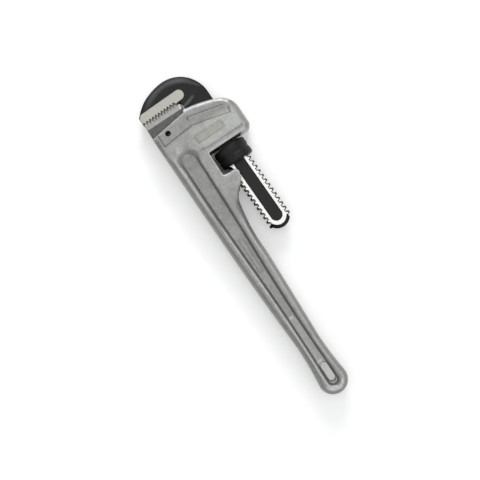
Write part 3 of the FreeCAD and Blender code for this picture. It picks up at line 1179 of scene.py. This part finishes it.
    def mark(self, thing: Object, outline: Outline, recess: Outline) -> None:
        """Tell the finish where the casting gets painted highlights, wear and painted shade, and
        where it is engraved.

        Each painted highlight is a bell or a step across a line of the casting: the rims of its
        small radii, which also stand for wear, the crests beside the recess, the ring round the
        tail, the slopes at the ends of the raised stretch, the collar's slanted edge, the window's
        lower edge and the shelf along the back. The window's walls and the shank's passage get
        painted shade, the scoop a painted highlight and painted shade, and the tone changes over
        the collar and the tail.

        Args:
            thing: the casting.
            outline: its silhouette.
            recess: foot line of its recess.
        """
        points = drawn_points(thing, Axes.HANDLE)
        xy, level = points[:, :2], np.abs(points[:, 2])
        x, y = xy.T
        distance, across, _ = outline.measure(xy)
        beside = recess.measure(xy)[0]
        # Painted highlights: the rims of the small radii, which also stand for wear, then the
        # crests, tail ring, ramps, slanted edge, window rim and shelf.
        rim = bell(distance - 0.35 * across, 0.0, 0.35 * across + 0.4)
        rim = rim * smooth_step(5.4, 3.6, across)
        upper_crest, lower_crest = bell(beside, -3.2, 0.8), bell(distance, 4.6, 0.9)
        crest = np.where(y > 47.4, upper_crest, lower_crest) * smooth_step(-55.0, -75.0, x)
        tail_ring = bell(distance, 6.2, 1.6) * smooth_step(-278.0, -283.0, x)
        nose = bell(distance_to_line(xy, self.bright_edge), 0.0, 1.5) * (distance < 4.6)
        lip = bell(distance_to_line(xy, self.window_rim), 0.0, 1.1)
        shelf = bell(y - 0.01 * x, 59.2, 0.9)
        shelf = shelf * smooth_step(-62.0, -50.0, x) * smooth_step(40.0, 28.0, x)
        ramps = bell(x + 0.25 * (y - 47.4), -191.6, 1.6) + bell(x, -251.6, 1.0)
        ramps = 0.55 * ramps * smooth_step(0.1, 0.8, beside)
        parts = (0.75 * rim, 0.8 * crest, tail_ring, ramps, 1.2 * nose, 0.9 * lip, 0.35 * shelf)
        on_face = smooth_step(0.5, 0.8, level / self.thickness(x))
        rubbed_and_highlit = np.maximum.reduce(parts) * on_face
        set_attribute(thing, "edge_wear_and_highlight", np.where(ramps > 0.02, ramps, rubbed_and_highlit))
        # Tone changes: brighter on the collar's face beside the window, darker round the heel seat,
        # brighter on the tail's raised stretch.
        bright = smooth_step(12.0, 22.0, x) * smooth_step(50.0, 40.0, x)
        bright = bright * smooth_step(32.0, 18.0, y)
        seat = smooth_step(47.5, 49.0, x - 0.12 * np.minimum(y - 22.0, 0))
        seat = seat * smooth_step(66.0, 60.0, x)
        # Painted highlight and painted shade in the scoop; the engraved grooves are made darker.
        glow = bell(x, 33.0, 5.5) * bell(y, 50.0, 3.2)
        gloom = 0.55 * bell(x, 31.0, 6.5) * bell(y, 40.5, 2.6)
        for line, _, half_width in self.grooves():
            gloom = gloom + 0.3 * bell(distance_to_line(xy, line), 0.0, half_width)
        plateau = smooth_step(-189.0, -194.0, x) * smooth_step(0.0, 0.5, beside)
        tone_and_painted_light = 0.33 + 0.6 * bright - 0.28 * seat + 0.75 * glow + 0.42 * plateau - gloom
        set_attribute(thing, "tone_and_painted_light", tone_and_painted_light)
        # Painted shade in the window and the passage, where the nut and the casting shade the
        # walls.
        in_window = (x > -17.5) & (x < 14.5) & (y < 23.5)
        walls = smooth_step(0.9, 0.15, distance) * in_window * smooth_step(-22.0, -19.0, y)
        inside = (level < 10.2) & (x > -63.0) & (y < 21.0) & (distance > -0.1)
        set_attribute(thing, "painted_window_shade", np.maximum(walls, inside))
        plate = smooth_step(0.2, -0.6, box_gap(xy, self.name_plate)) * (points[:, 2] > 15)
        set_attribute(thing, "name_panel", 0.6 * plate)

    def build(self, finish: Material) -> Object:
        """Make the casting, cut it and let it stand for the CAD node.

        Args:
            finish: material of the casting.

        Returns:
            The finished piece.
        """
        outline, recess = self.outline(), self.recess()
        slot = stadium(-279.0, -254.0, 47.4, 8.0, 0.8, 1.0)
        hole = circle(self.pin_hole, self.pin_hole_radius)
        surface = self.height(outline, recess, slot)
        plate = Plate(outline, [slot, hole], surface, self.details(recess), creases=[recess.points])
        thing = plate.build("handle_casting", Axes.HANDLE)
        cut_away(thing, self.tools())
        self.mark(thing, outline, recess)
        shade(thing)
        dress(thing, finish)
        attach(thing, "housing")
        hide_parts("handle_housing")
        return thing


# ---------------------------------------------------------------- jaws


def tooth_legs(tip: float, root: float, first: float, last: float, pitch: float) -> list[Leg]:
    """Legs of a row of teeth along Y, from the first tip to the last, with small flats.

    Args:
        tip: X of the tips.
        root: X of the roots.
        first: Y of the first tip.
        last: Y of the last tip.
        pitch: distance from tip to tip, before it is rounded to fit.

    Returns:
        The legs, from the first tip on.
    """
    count = round(abs(last - first) / pitch)
    step = (last - first) / count
    legs = [Leg((tip, first), None, 0.35, 0.3)]
    for index in range(count):
        y = first + index * step
        legs += [
            Leg((root, y + 0.46 * step), None, 0.35, 0.3),
            Leg((root, y + 0.54 * step), None, 0.35, 0.3),
            Leg((tip, y + 0.95 * step), None, 0.35, 0.3),
            Leg((tip, y + step), None, 0.35, 0.3),
        ]
    return legs


@dataclass
class HeelJaw:
    """Fixed jaw: a toothed block pinned into the housing."""

    face: float = 10.0
    tips: float = 80.5
    roots: float = 78.8
    low_end: float = 19.2
    high_end: float = 67.2
    bevel_from: float = 73.7
    bevel_drop: float = 1.8
    pitch: float = 4.0
    pin: Pair = (57.3, 49.2)

    def outline(self) -> Outline:
        """Block, shoulders and teeth.

        Returns:
            The outline.
        """
        first, last = self.low_end + 3.0, self.high_end - 1.0
        teeth = tooth_legs(self.tips, self.roots, first, last, self.pitch)
        return Outline((49.3, 23.2), [
            Leg((68.2, 23.2), None, 0.5, 0.5),
            Leg((72.2, 21.6), None, 0.5, 0.5),
            Leg((74.0, self.low_end), None, 0.8, 0.7),
            Leg((77.5, self.low_end), None, 0.8, 0.7),
            Leg((self.tips, self.low_end + 3.0), (79.63, 20.07), 0.6, 0.5),
            *teeth[1:],
            Leg((79.5, self.high_end), None, 0.6, 0.5),
            Leg((61.7, self.high_end), None, 0.8, 0.8),
            Leg((61.7, 64.3), None, 0.5, 0.5),
            Leg((49.3, 64.3), None, 0.5, 0.5),
            Leg((49.3, 23.2), None, 0.5, 0.5),
        ], 0.8)

    def build(self, finish: Material) -> Object:
        """Make the jaw, with its bevels falling towards the teeth and the lower end.

        Args:
            finish: material of the jaw.

        Returns:
            The finished piece.
        """
        outline = self.outline()

        def height(xy: Array) -> Array:
            """Height of the face at places in the outline's plane.

            Args:
                xy: the places.

            Returns:
                One height for each place.
            """
            distance, across, down = outline.measure(xy)
            to_teeth = (xy[:, 0] - self.bevel_from) / (self.tips - self.bevel_from)
            to_end = (22.1 - xy[:, 1]) / 2.9
            slope = np.clip(np.maximum(to_teeth, to_end), 0, 1)
            return self.face - self.bevel_drop * slope - rounded_edge(distance, across, down)

        bevel_line = ((self.bevel_from, 66.5), (self.bevel_from, 22.1), (72.5, 22.1))
        details = [line_rows(bevel_line, (-0.3, 0.0, 0.3), 0.9)]
        plate = Plate(outline, [circle(self.pin, 3.25)], height, details, 1.5, 3)
        thing = plate.build("heel_jaw_block", Axes.HANDLE)
        shade(thing, 25.0)
        dress(thing, finish)
        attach(thing, "housing")
        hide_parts("heel_jaw")
        return thing


@dataclass
class HookJaw:
    """Moving jaw: hooked head, neck and threaded flat shank in one forging."""

    pitch: float = 6.35
    crest: float = 14.7
    root: float = 11.15
    crest_width: float = 2.0
    flank_run: float = 1.075
    first_crest: float = -93.75
    last_crest: float = 14.0
    shank_face: float = 8.25
    head_face: float = 10.0
    pad_rise: float = 0.4
    tips: float = 83.1
    roots: float = 85.9
    back_side: float = -16.7
    heel_side: float = 15.6
    foot_centre: float = -86.9
    flats_end: float = 9.5
    fold: tuple = ((74.6, 18.0), (75.4, 10.0), (78.6, -1.0))
    recess_half: float = 7.1
    recess_depth: float = 1.2
    crown_drop: float = 3.4
    crown_width: float = 9.5

    def thread_legs(self, side: int) -> list[Leg]:
        """Crests and gaps along one edge; the heel side runs down the shank, the other runs up.

        Args:
            side: 1 for the heel side, -1 for the other.

        Returns:
            The legs, in the order in which the outline meets them.
        """
        shift = 0.0 if side > 0 else self.pitch / 2
        count = int((self.last_crest - self.first_crest) / self.pitch)
        middles = self.first_crest + shift + self.pitch * np.arange(count + 1)
        middles = middles[middles < self.last_crest - 2.5]
        legs = []
        for middle in (middles[::-1] if side > 0 else middles):
            half, base = self.crest_width / 2, self.crest_width / 2 + self.flank_run
            corners = [(base, self.root), (half, self.crest)]
            corners += [(-half, self.crest), (-base, self.root)]
            if side < 0:
                corners = [(-x, y) for x, y in corners]
            legs += [Leg((middle + x, side * y), None, 0.3, 0.3) for x, y in corners]
        return legs

    def outline(self) -> Outline:
        """Silhouette along the shank's own axis.

        Returns:
            The outline.
        """
        crown = (112.18, 20.8)
        knuckle = math.radians(37.0)
        turn = math.radians(47.5)
        lower = (74.7 + 37.48 * math.cos(knuckle), 20.8 - 37.48 * math.sin(knuckle))
        over = (52.2 + 59.98 * math.cos(turn / 2), 20.8 + 59.98 * math.sin(turn / 2))
        shoulder = (52.2 + 60.0 * math.cos(turn), 20.8 + 60.0 * math.sin(turn))
        rim = {"across": 1.9, "down": 1.9}
        plain = {"across": 0.8, "down": 0.8}
        heel_thread, back_thread = self.thread_legs(1), self.thread_legs(-1)
        teeth = tooth_legs(self.tips, self.roots, 65.5, 21.5, 4.0)
        foot_angle = math.radians(50.5)
        foot_x = self.foot_centre - self.crest * math.cos(foot_angle)
        foot_y = self.crest * math.sin(foot_angle)
        return Outline((14.0, -self.root), [
            Leg((14.0, self.back_side), None, **plain),
            Leg((60.0, self.back_side), None, **plain),
            Leg((74.7, self.back_side), None, **rim),
            Leg(crown, lower, **rim),
            Leg(shoulder, over, **rim),
            Leg((shoulder[0] - 2.0, 65.5), None, 1.2, 1.2),
            Leg((self.tips, 65.5), None, 0.6, 0.5),
            *teeth[1:],
            Leg((82.0, 19.6), None, 0.8, 0.8),
            Leg((78.0, self.heel_side), (80.83, 16.77), 1.0, 1.0),
            Leg((14.0, self.heel_side), None, **plain),
            Leg((14.0, self.root), None, **plain),
            *heel_thread,
            Leg((foot_x, foot_y), None, 0.6, 0.6),
            Leg((foot_x, -foot_y), (self.foot_centre - self.crest, 0.0), 0.8, 0.8),
            *back_thread,
            Leg((14.0, -self.root), None, **plain),
        ], 0.75)

    @staticmethod
    def pad() -> Outline:
        """Ground pad behind the teeth: rounded at its lower end, cut off at its upper one.

        Returns:
            The outline.
        """
        return Outline((82.0, 65.2), [
            Leg((82.0, 20.6)),
            Leg((82.6, 17.6)),
            Leg((82.6, 13.0)),
            Leg((95.0, 13.0), (88.8, 6.8)),
            Leg((95.0, 61.4)),
            Leg((91.0, 65.2)),
            Leg((82.0, 65.2)),
        ], 0.8)

    def recess(self) -> Outline:
        """Long black recess in the shank's face."""
        return stadium(-92.6, 62.0, 0.0, 2 * self.recess_half, 1.0, 1.0)

    def height(self, outline: Outline, pad: Outline, recess: Outline) -> Height:
        """Height of the upper face over the whole forging.

        Between the teeth the face falls off in a chamfer, and on them it follows the crest's
        circle about the shank's axis.

        Args:
            outline: the silhouette.
            pad: the ground pad, which stands a little above the head.
            recess: the long recess, which lies below the shank's face.

        Returns:
            A function that gives the height at points.
        """

        def at(xy: Array) -> Array:
            """Height of the face at places in the outline's plane.

            Args:
                xy: the places.

            Returns:
                One height for each place.
            """
            x, y = xy[:, 0], xy[:, 1]
            distance, across, down = outline.measure(xy)
            head = smooth_step(70.0, 84.0, x)
            from_rim = np.clip(1 - distance / self.crown_width, 0, 1)
            crown = self.crown_drop * from_rim**1.5 * smooth_step(84.0, 98.0, x - 0.4 * y)
            face = self.shank_face + (self.head_face - self.shank_face) * head - crown
            fold = distance_to_line(xy, self.fold)
            face = face + 0.9 * bell(fold, 0.0, 1.9) * smooth_step(-4.0, 6.0, y)
            face = face - rounded_edge(distance, across, down)
            on_thread = smooth_step(14.5, 12.5, x)
            away = np.abs(y)
            round_crest = np.sqrt(np.clip(self.crest**2 - away**2, 0.0, None))
            in_gap = self.shank_face - 1.2 * np.clip(away - 10.25, 0, 1.2)
            outwards = (self.crest - away) / (self.crest - self.root)
            tooth_half = self.crest_width / 2 + self.flank_run * outwards
            phase = np.where(y > 0, 0.0, self.pitch / 2)
            along = (x - self.first_crest - phase + self.pitch / 2) % self.pitch - self.pitch / 2
            on_tooth = np.abs(along) <= tooth_half + 0.05
            thread = np.where(on_tooth, np.minimum(self.shank_face, round_crest), in_gap)
            out = np.hypot(x - self.foot_centre, y)
            foot = self.shank_face - 1.05 * np.clip(out - 10.4, 0, None)
            thread = np.where(x < self.first_crest + 1.5, np.minimum(foot, self.shank_face), thread)
            face = np.where(on_thread > 0.5, np.minimum(face, thread), face)
            sunk = recess.measure(xy)[0]
            face = face - self.recess_depth * smooth_step(-0.05, 0.8, sunk)
            raised = pad.measure(xy)[0]
            pad_top = self.head_face + self.pad_rise
            return np.where(raised > -0.01, pad_top - 0.25 * smooth_step(0.35, 0.0, raised), face)

        return at

    def slant(self, vertices: Array) -> Array:
        """Lean of the teeth along the thread: a shift along X that grows with height.

        Args:
            vertices: the plate's points.

        Returns:
            One shift for each point.
        """
        x, y, z = vertices.T
        flat_half = math.sqrt(self.crest**2 - self.shank_face**2)
        step = self.pitch / math.tau * math.atan2(self.shank_face, flat_half)
        teeth = smooth_step(10.3, 11.15, np.abs(y)) * smooth_step(13.0, 11.0, x)
        teeth = teeth * smooth_step(self.first_crest - 4.0, self.first_crest, x)
        return np.sign(y) * step * z / self.shank_face * teeth

    def mark(self, thing: Object, outline: Outline) -> None:
        """Tell the finish where the forging is ground bright, and where its black gets a painted
        sheen.

        The faced flats are what lies on the top level of the shank and of the pad, inside the
        edge rounding. The painted sheen follows the head's rim, and a painted highlight streak
        follows the fold.

        Args:
            thing: the forging.
            outline: its silhouette.
        """
        points = drawn_points(thing, Axes.SHANK)
        points[:, 0] -= self.slant(points)
        x, y, level = points[:, 0], points[:, 1], np.abs(points[:, 2])
        distance, _, _ = outline.measure(points[:, :2])
        # Painted sheen along the head's rim, and a painted highlight along the fold.
        sheen = bell(distance, 5.0, 2.9) * smooth_step(92.0, 106.0, x + 0.35 * np.minimum(y, 30.0))
        sheen = sheen * smooth_step(60.0, 35.0, y) * (0.55 + 0.45 * smooth_step(-12.0, 12.0, y))
        streak = bell(distance_to_line(points[:, :2], self.fold), 0.3, 1.3)
        streak = streak * smooth_step(-4.0, 5.0, y)
        wear_and_highlight = np.maximum(0.5 * sheen * smooth_step(80.0, 90.0, x), 0.7 * streak) * (level > 6)
        set_attribute(thing, "edge_wear_and_highlight", wear_and_highlight)
        inset = smooth_step(0.75, 1.15, distance)
        inset = inset * smooth_step(self.flats_end, self.flats_end - 0.6, x)
        out = np.where(x < self.first_crest + 1.5, np.hypot(x - self.foot_centre, y), 0.0)
        border = inset * (level > self.shank_face - 0.12) * (out < 10.45)
        set_attribute(thing, "ground_border", border)
        set_attribute(thing, "ground_pad", level > self.head_face + 0.2)

    def build(self, finish: Material) -> Object:
        """Make the forging and let it stand for the CAD node.

        Args:
            finish: material of the forging.

        Returns:
            The finished piece.
        """
        outline, pad, recess = self.outline(), self.pad(), self.recess()
        details = [
            pad.rows([0.35, -0.4]),
            recess.rows([1.4, 0.4, -0.4]),
            outline.rows([0.6, 1.15, 1.8]),
        ]
        for radius in (9.9, 10.4, 10.5, 11.2, 12.4):
            ring = circle((self.foot_centre, 0.0), radius, 0.5).points
            details.append(ring[ring[:, 0] < self.first_crest + 1.4])
        for edge in (10.25, 12.0, 12.17, 12.5, 13.2, 13.9):
            for y in (edge, -edge):
                details.append(line_rows(((-100.0, y), (14.0, y)), (0.0,), 0.5))
        creases = [pad.points, pad.beside(-0.08), recess.points, recess.beside(0.8)]
        surface = self.height(outline, pad, recess)
        plate = Plate(outline, [], surface, details, 1.5, 4, creases)
        thing = plate.build("hook_jaw_forging", Axes.SHANK, self.slant)
        self.mark(thing, outline)
        shade(thing, 30.0)
        dress(thing, finish)
        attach(thing, "hook")
        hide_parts("hook_jaw")
        return thing


@dataclass
class AdjustingNut:
    """Round knurled nut with a waist, chamfered ends and the thread inside it."""

    radius: float = 20.0
    length: float = 21.0
    middle: float = -0.5
    chamfer: float = 1.6
    waist: float = 0.9
    waist_at: float = -0.5
    minor: float = 13.6
    major: float = 15.1
    pitch: float = 6.35
    first_crest: float = -93.75
    turns: int = 300
    knurls: int = 54
    knurl_depth: float = 0.32
    waist_width: float = 1.9
    lip_width: float = 0.6
    outer_rows: int = 60
    bore_rows: int = 56

    def build(self, finish: Material) -> Object:
        """Carry one closed section round the axis, with the knurl and the thread worked into it.

        The knurl is the product of two waves that cross, so that it stands up in diamonds. The
        thread is a groove whose place along the axis goes one pitch round each turn.

        Args:
            finish: material of the nut.

        Returns:
            The finished piece.
        """
        half = self.length / 2
        outer = np.linspace(half - self.chamfer, self.chamfer - half, self.outer_rows)
        bore = np.linspace(-half, half, self.bore_rows)
        lip = self.minor + self.lip_width
        near_end, far_end = [half, half, half - 0.5], [0.5 - half, -half, -half]
        section_x = np.concatenate([near_end, outer, far_end, bore])
        rim = self.radius - self.chamfer
        end_r = [lip + 1.5, rim, rim + 0.75]
        outer_r, bore_r = np.full(len(outer), self.radius), np.full(len(bore), self.minor)
        section_r = np.concatenate([end_r, outer_r, end_r[::-1], bore_r])
        angles = math.tau * np.arange(self.turns) / self.turns
        along = np.tile(section_x, (self.turns, 1))
        radius = np.tile(section_r, (self.turns, 1))
        outside = slice(3, 3 + len(outer))
        inside = slice(3 + len(outer) + 3, None)
        x, turn = along[:, outside], angles[:, None]
        width = math.tau * self.radius / self.knurls
        one = np.cos(self.knurls * turn + math.tau * x / width)
        two = np.cos(self.knurls * turn - math.tau * x / width)
        diamonds = np.clip(0.5 + 0.5 * (one + two) / 1.4, 0, 1)
        banded = smooth_step(half - self.chamfer, half - self.chamfer - 1.2, np.abs(x))
        waist = bell(x, self.waist_at, self.waist_width)
        sunk = self.knurl_depth * (1 - diamonds) * banded * (1 - 0.6 * waist)
        radius[:, outside] = self.radius - sunk - self.waist * waist - 0.25 * (1 - banded)
        start = self.middle - self.first_crest - self.pitch * turn / math.tau
        place = (along[:, inside] + start) % self.pitch
        gap = np.minimum(place, self.pitch - place)
        radius[:, inside] = self.minor + (self.major - self.minor) * smooth_step(2.45, 1.95, gap)
        thing = turned_grid("adjusting_nut_knurled", radius, along + self.middle, angles)
        wear_and_highlight = np.zeros_like(radius)
        wear_and_highlight[:, outside] = diamonds**2 * banded
        wear_and_highlight[:, [1, 2, outside.stop, outside.stop + 1]] = 0.5
        set_attribute(thing, "edge_wear_and_highlight", wear_and_highlight.ravel())
        shade(thing, 40.0)
        dress(thing, finish)
        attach(thing, "nut")
        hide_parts("adjusting_nut")
        return thing


# ---------------------------------------------------------------- room, light and camera


@dataclass
class Studio:
    """Pale table that glows faintly, with a painted shadow round the window, soft light from above
    and a camera that looks straight down.
    """

    frame_width_mm: float = 542.4
    centre: Pair = (-86.8, 48.0)
    camera_foot: Pair = (-86.8, 25.0)
    camera_height_mm: float = 1250.0
    sharp_level_mm: float = 12.0
    image_up: Pair = (0.8334, -0.5527)
    image_right: Pair = (-0.5527, -0.8334)
    table_glow: float = 0.19
    # Middle and reach of the painted shadow on the table.
    shade_at: Triple = (-2.0, 10.0, 0.0)        # the table seen through the window
    shade_reach: Triple = (24.0, 22.0, 20.0)

    def floor(self) -> None:
        """Large pale matt table top that glows faintly, darkened by a painted shadow where it is
        seen through the window.
        """
        size = 3.0
        corners = [(-size, -size, 0), (size, -size, 0), (size, size, 0), (-size, size, 0)]
        mesh = bpy.data.meshes.new("table_top")
        mesh.from_pydata(corners, [], [(0, 1, 2, 3)])
        table = put("table_top", mesh)
        finish = Finish("pale_matt_table")
        material, node = finish.start()
        source = node("TexCoord")
        # Painted shadow: the table's glow fades out in a ball round the window, where the nut and
        # the casting shade it.
        x, y, _ = NUT_CENTRE + np.array(self.shade_at) * MM
        reach = tuple(np.array(self.shade_reach) * MM)
        about = node("Mapping", source, (x, y, 0), (0, 0, 0), reach, vector_type="TEXTURE")
        shaded = node("TexGradient", about, gradient_type="SPHERICAL")
        finish.surface(node, {
            "Base Color": linear("#fafaf9"),
            "Roughness": 0.9,
            "Emission Color": linear("#ffffff"),
            "Emission Strength": node("MapRange", shaded, 0.0, 0.4, self.table_glow, 0.0),
        })
        dress(table, material)

    def lamp(self, name: str, direction: tuple, distance: float, size: float, watts: float) -> None:
        """Square soft light that faces the wrench.

        Args:
            name: its name.
            direction: where it stands, seen from the wrench.
            distance: how far away, in metres.
            size: its width, in metres.
            watts: its power.
        """
        data = bpy.data.lights.new(name, "AREA")
        data.size = size
        data.energy = watts
        lamp = put(name, data)
        towards = Vector(direction).normalized()
        lamp.location = Vector(NUT_CENTRE) + towards * distance
        lamp.rotation_euler = towards.to_track_quat("Z", "Y").to_euler()

    def light(self) -> None:
        """One large light towards the top of the view, a weaker one beside it and a pale sky."""
        up, above = Vector((*self.image_up, 0)), Vector((0, 0, 1))
        self.lamp("overhead_softbox", tuple(above), 1.6, 1.2, 7.0)
        self.lamp("key_softbox", tuple(above * 0.75 + up * 0.95), 1.3, 0.5, 6.0)
        world = bpy.data.worlds.new("pale_room")
        world.use_nodes = True
        world.node_tree.nodes["Background"].inputs[0].default_value = linear("#f2f3f5")
        world.node_tree.nodes["Background"].inputs[1].default_value = 0.62
        bpy.context.scene.view_settings.view_transform = "Standard"
        bpy.context.scene.world = world

    def camera(self) -> None:
        """Camera above the handle, with its frame shifted onto the middle of the wrench."""
        data = bpy.data.cameras.new("camera")
        data.sensor_width = 36.0
        sharp_distance = self.camera_height_mm - self.sharp_level_mm
        data.lens = data.sensor_width * sharp_distance / self.frame_width_mm
        data.clip_start = 0.01
        offset = np.array(self.centre) - np.array(self.camera_foot)
        data.shift_x = float(offset @ np.array(self.image_right)) / self.frame_width_mm
        data.shift_y = float(offset @ np.array(self.image_up)) / self.frame_width_mm
        camera = put("camera", data)
        x, y = self.camera_foot
        place = NUT_CENTRE + np.array([x, y, self.camera_height_mm]) * MM
        right, up = Vector((*self.image_right, 0)), Vector((*self.image_up, 0))
        turn = Matrix((right, up, right.cross(up))).transposed().to_4x4()
        camera.matrix_world = Matrix.Translation(place) @ turn
        bpy.context.scene.camera = camera

    def build(self) -> None:
        """Set up table, lights and camera."""
        self.floor()
        self.light()
        self.camera()


def dress_small_parts() -> None:
    """Give the CAD nodes that stay in view their own finishes."""
    pins = PlainSteel("oiled_pin_steel", "#0f0f10", "#080809", 0.5).make()
    springs = PlainSteel().make()
    for name, material in (
        ("heel_jaw_pin", pins), ("spring_pin", pins),
        ("flat_spring", springs), ("coil_spring", springs),
    ):
        dress(frame["nodes"][name], material)
        LOG.info("%s dressed", name)


def main() -> None:
    """Build every piece in order, and report each one."""
    logging.basicConfig(level=logging.INFO)
    pieces = [
        Housing().build(BlastedCastAlloy().make()),
        HeelJaw().build(HeatTreatedSteel().make()),
        HookJaw().build(BlackForging().make()),
        AdjustingNut().build(BlackKnurledSteel().make()),
    ]
    for piece in pieces:
        LOG.info("%s: %d faces", piece.name, len(piece.data.polygons))
    dress_small_parts()
    Studio().build()


if __name__ == "__main__":
    main()
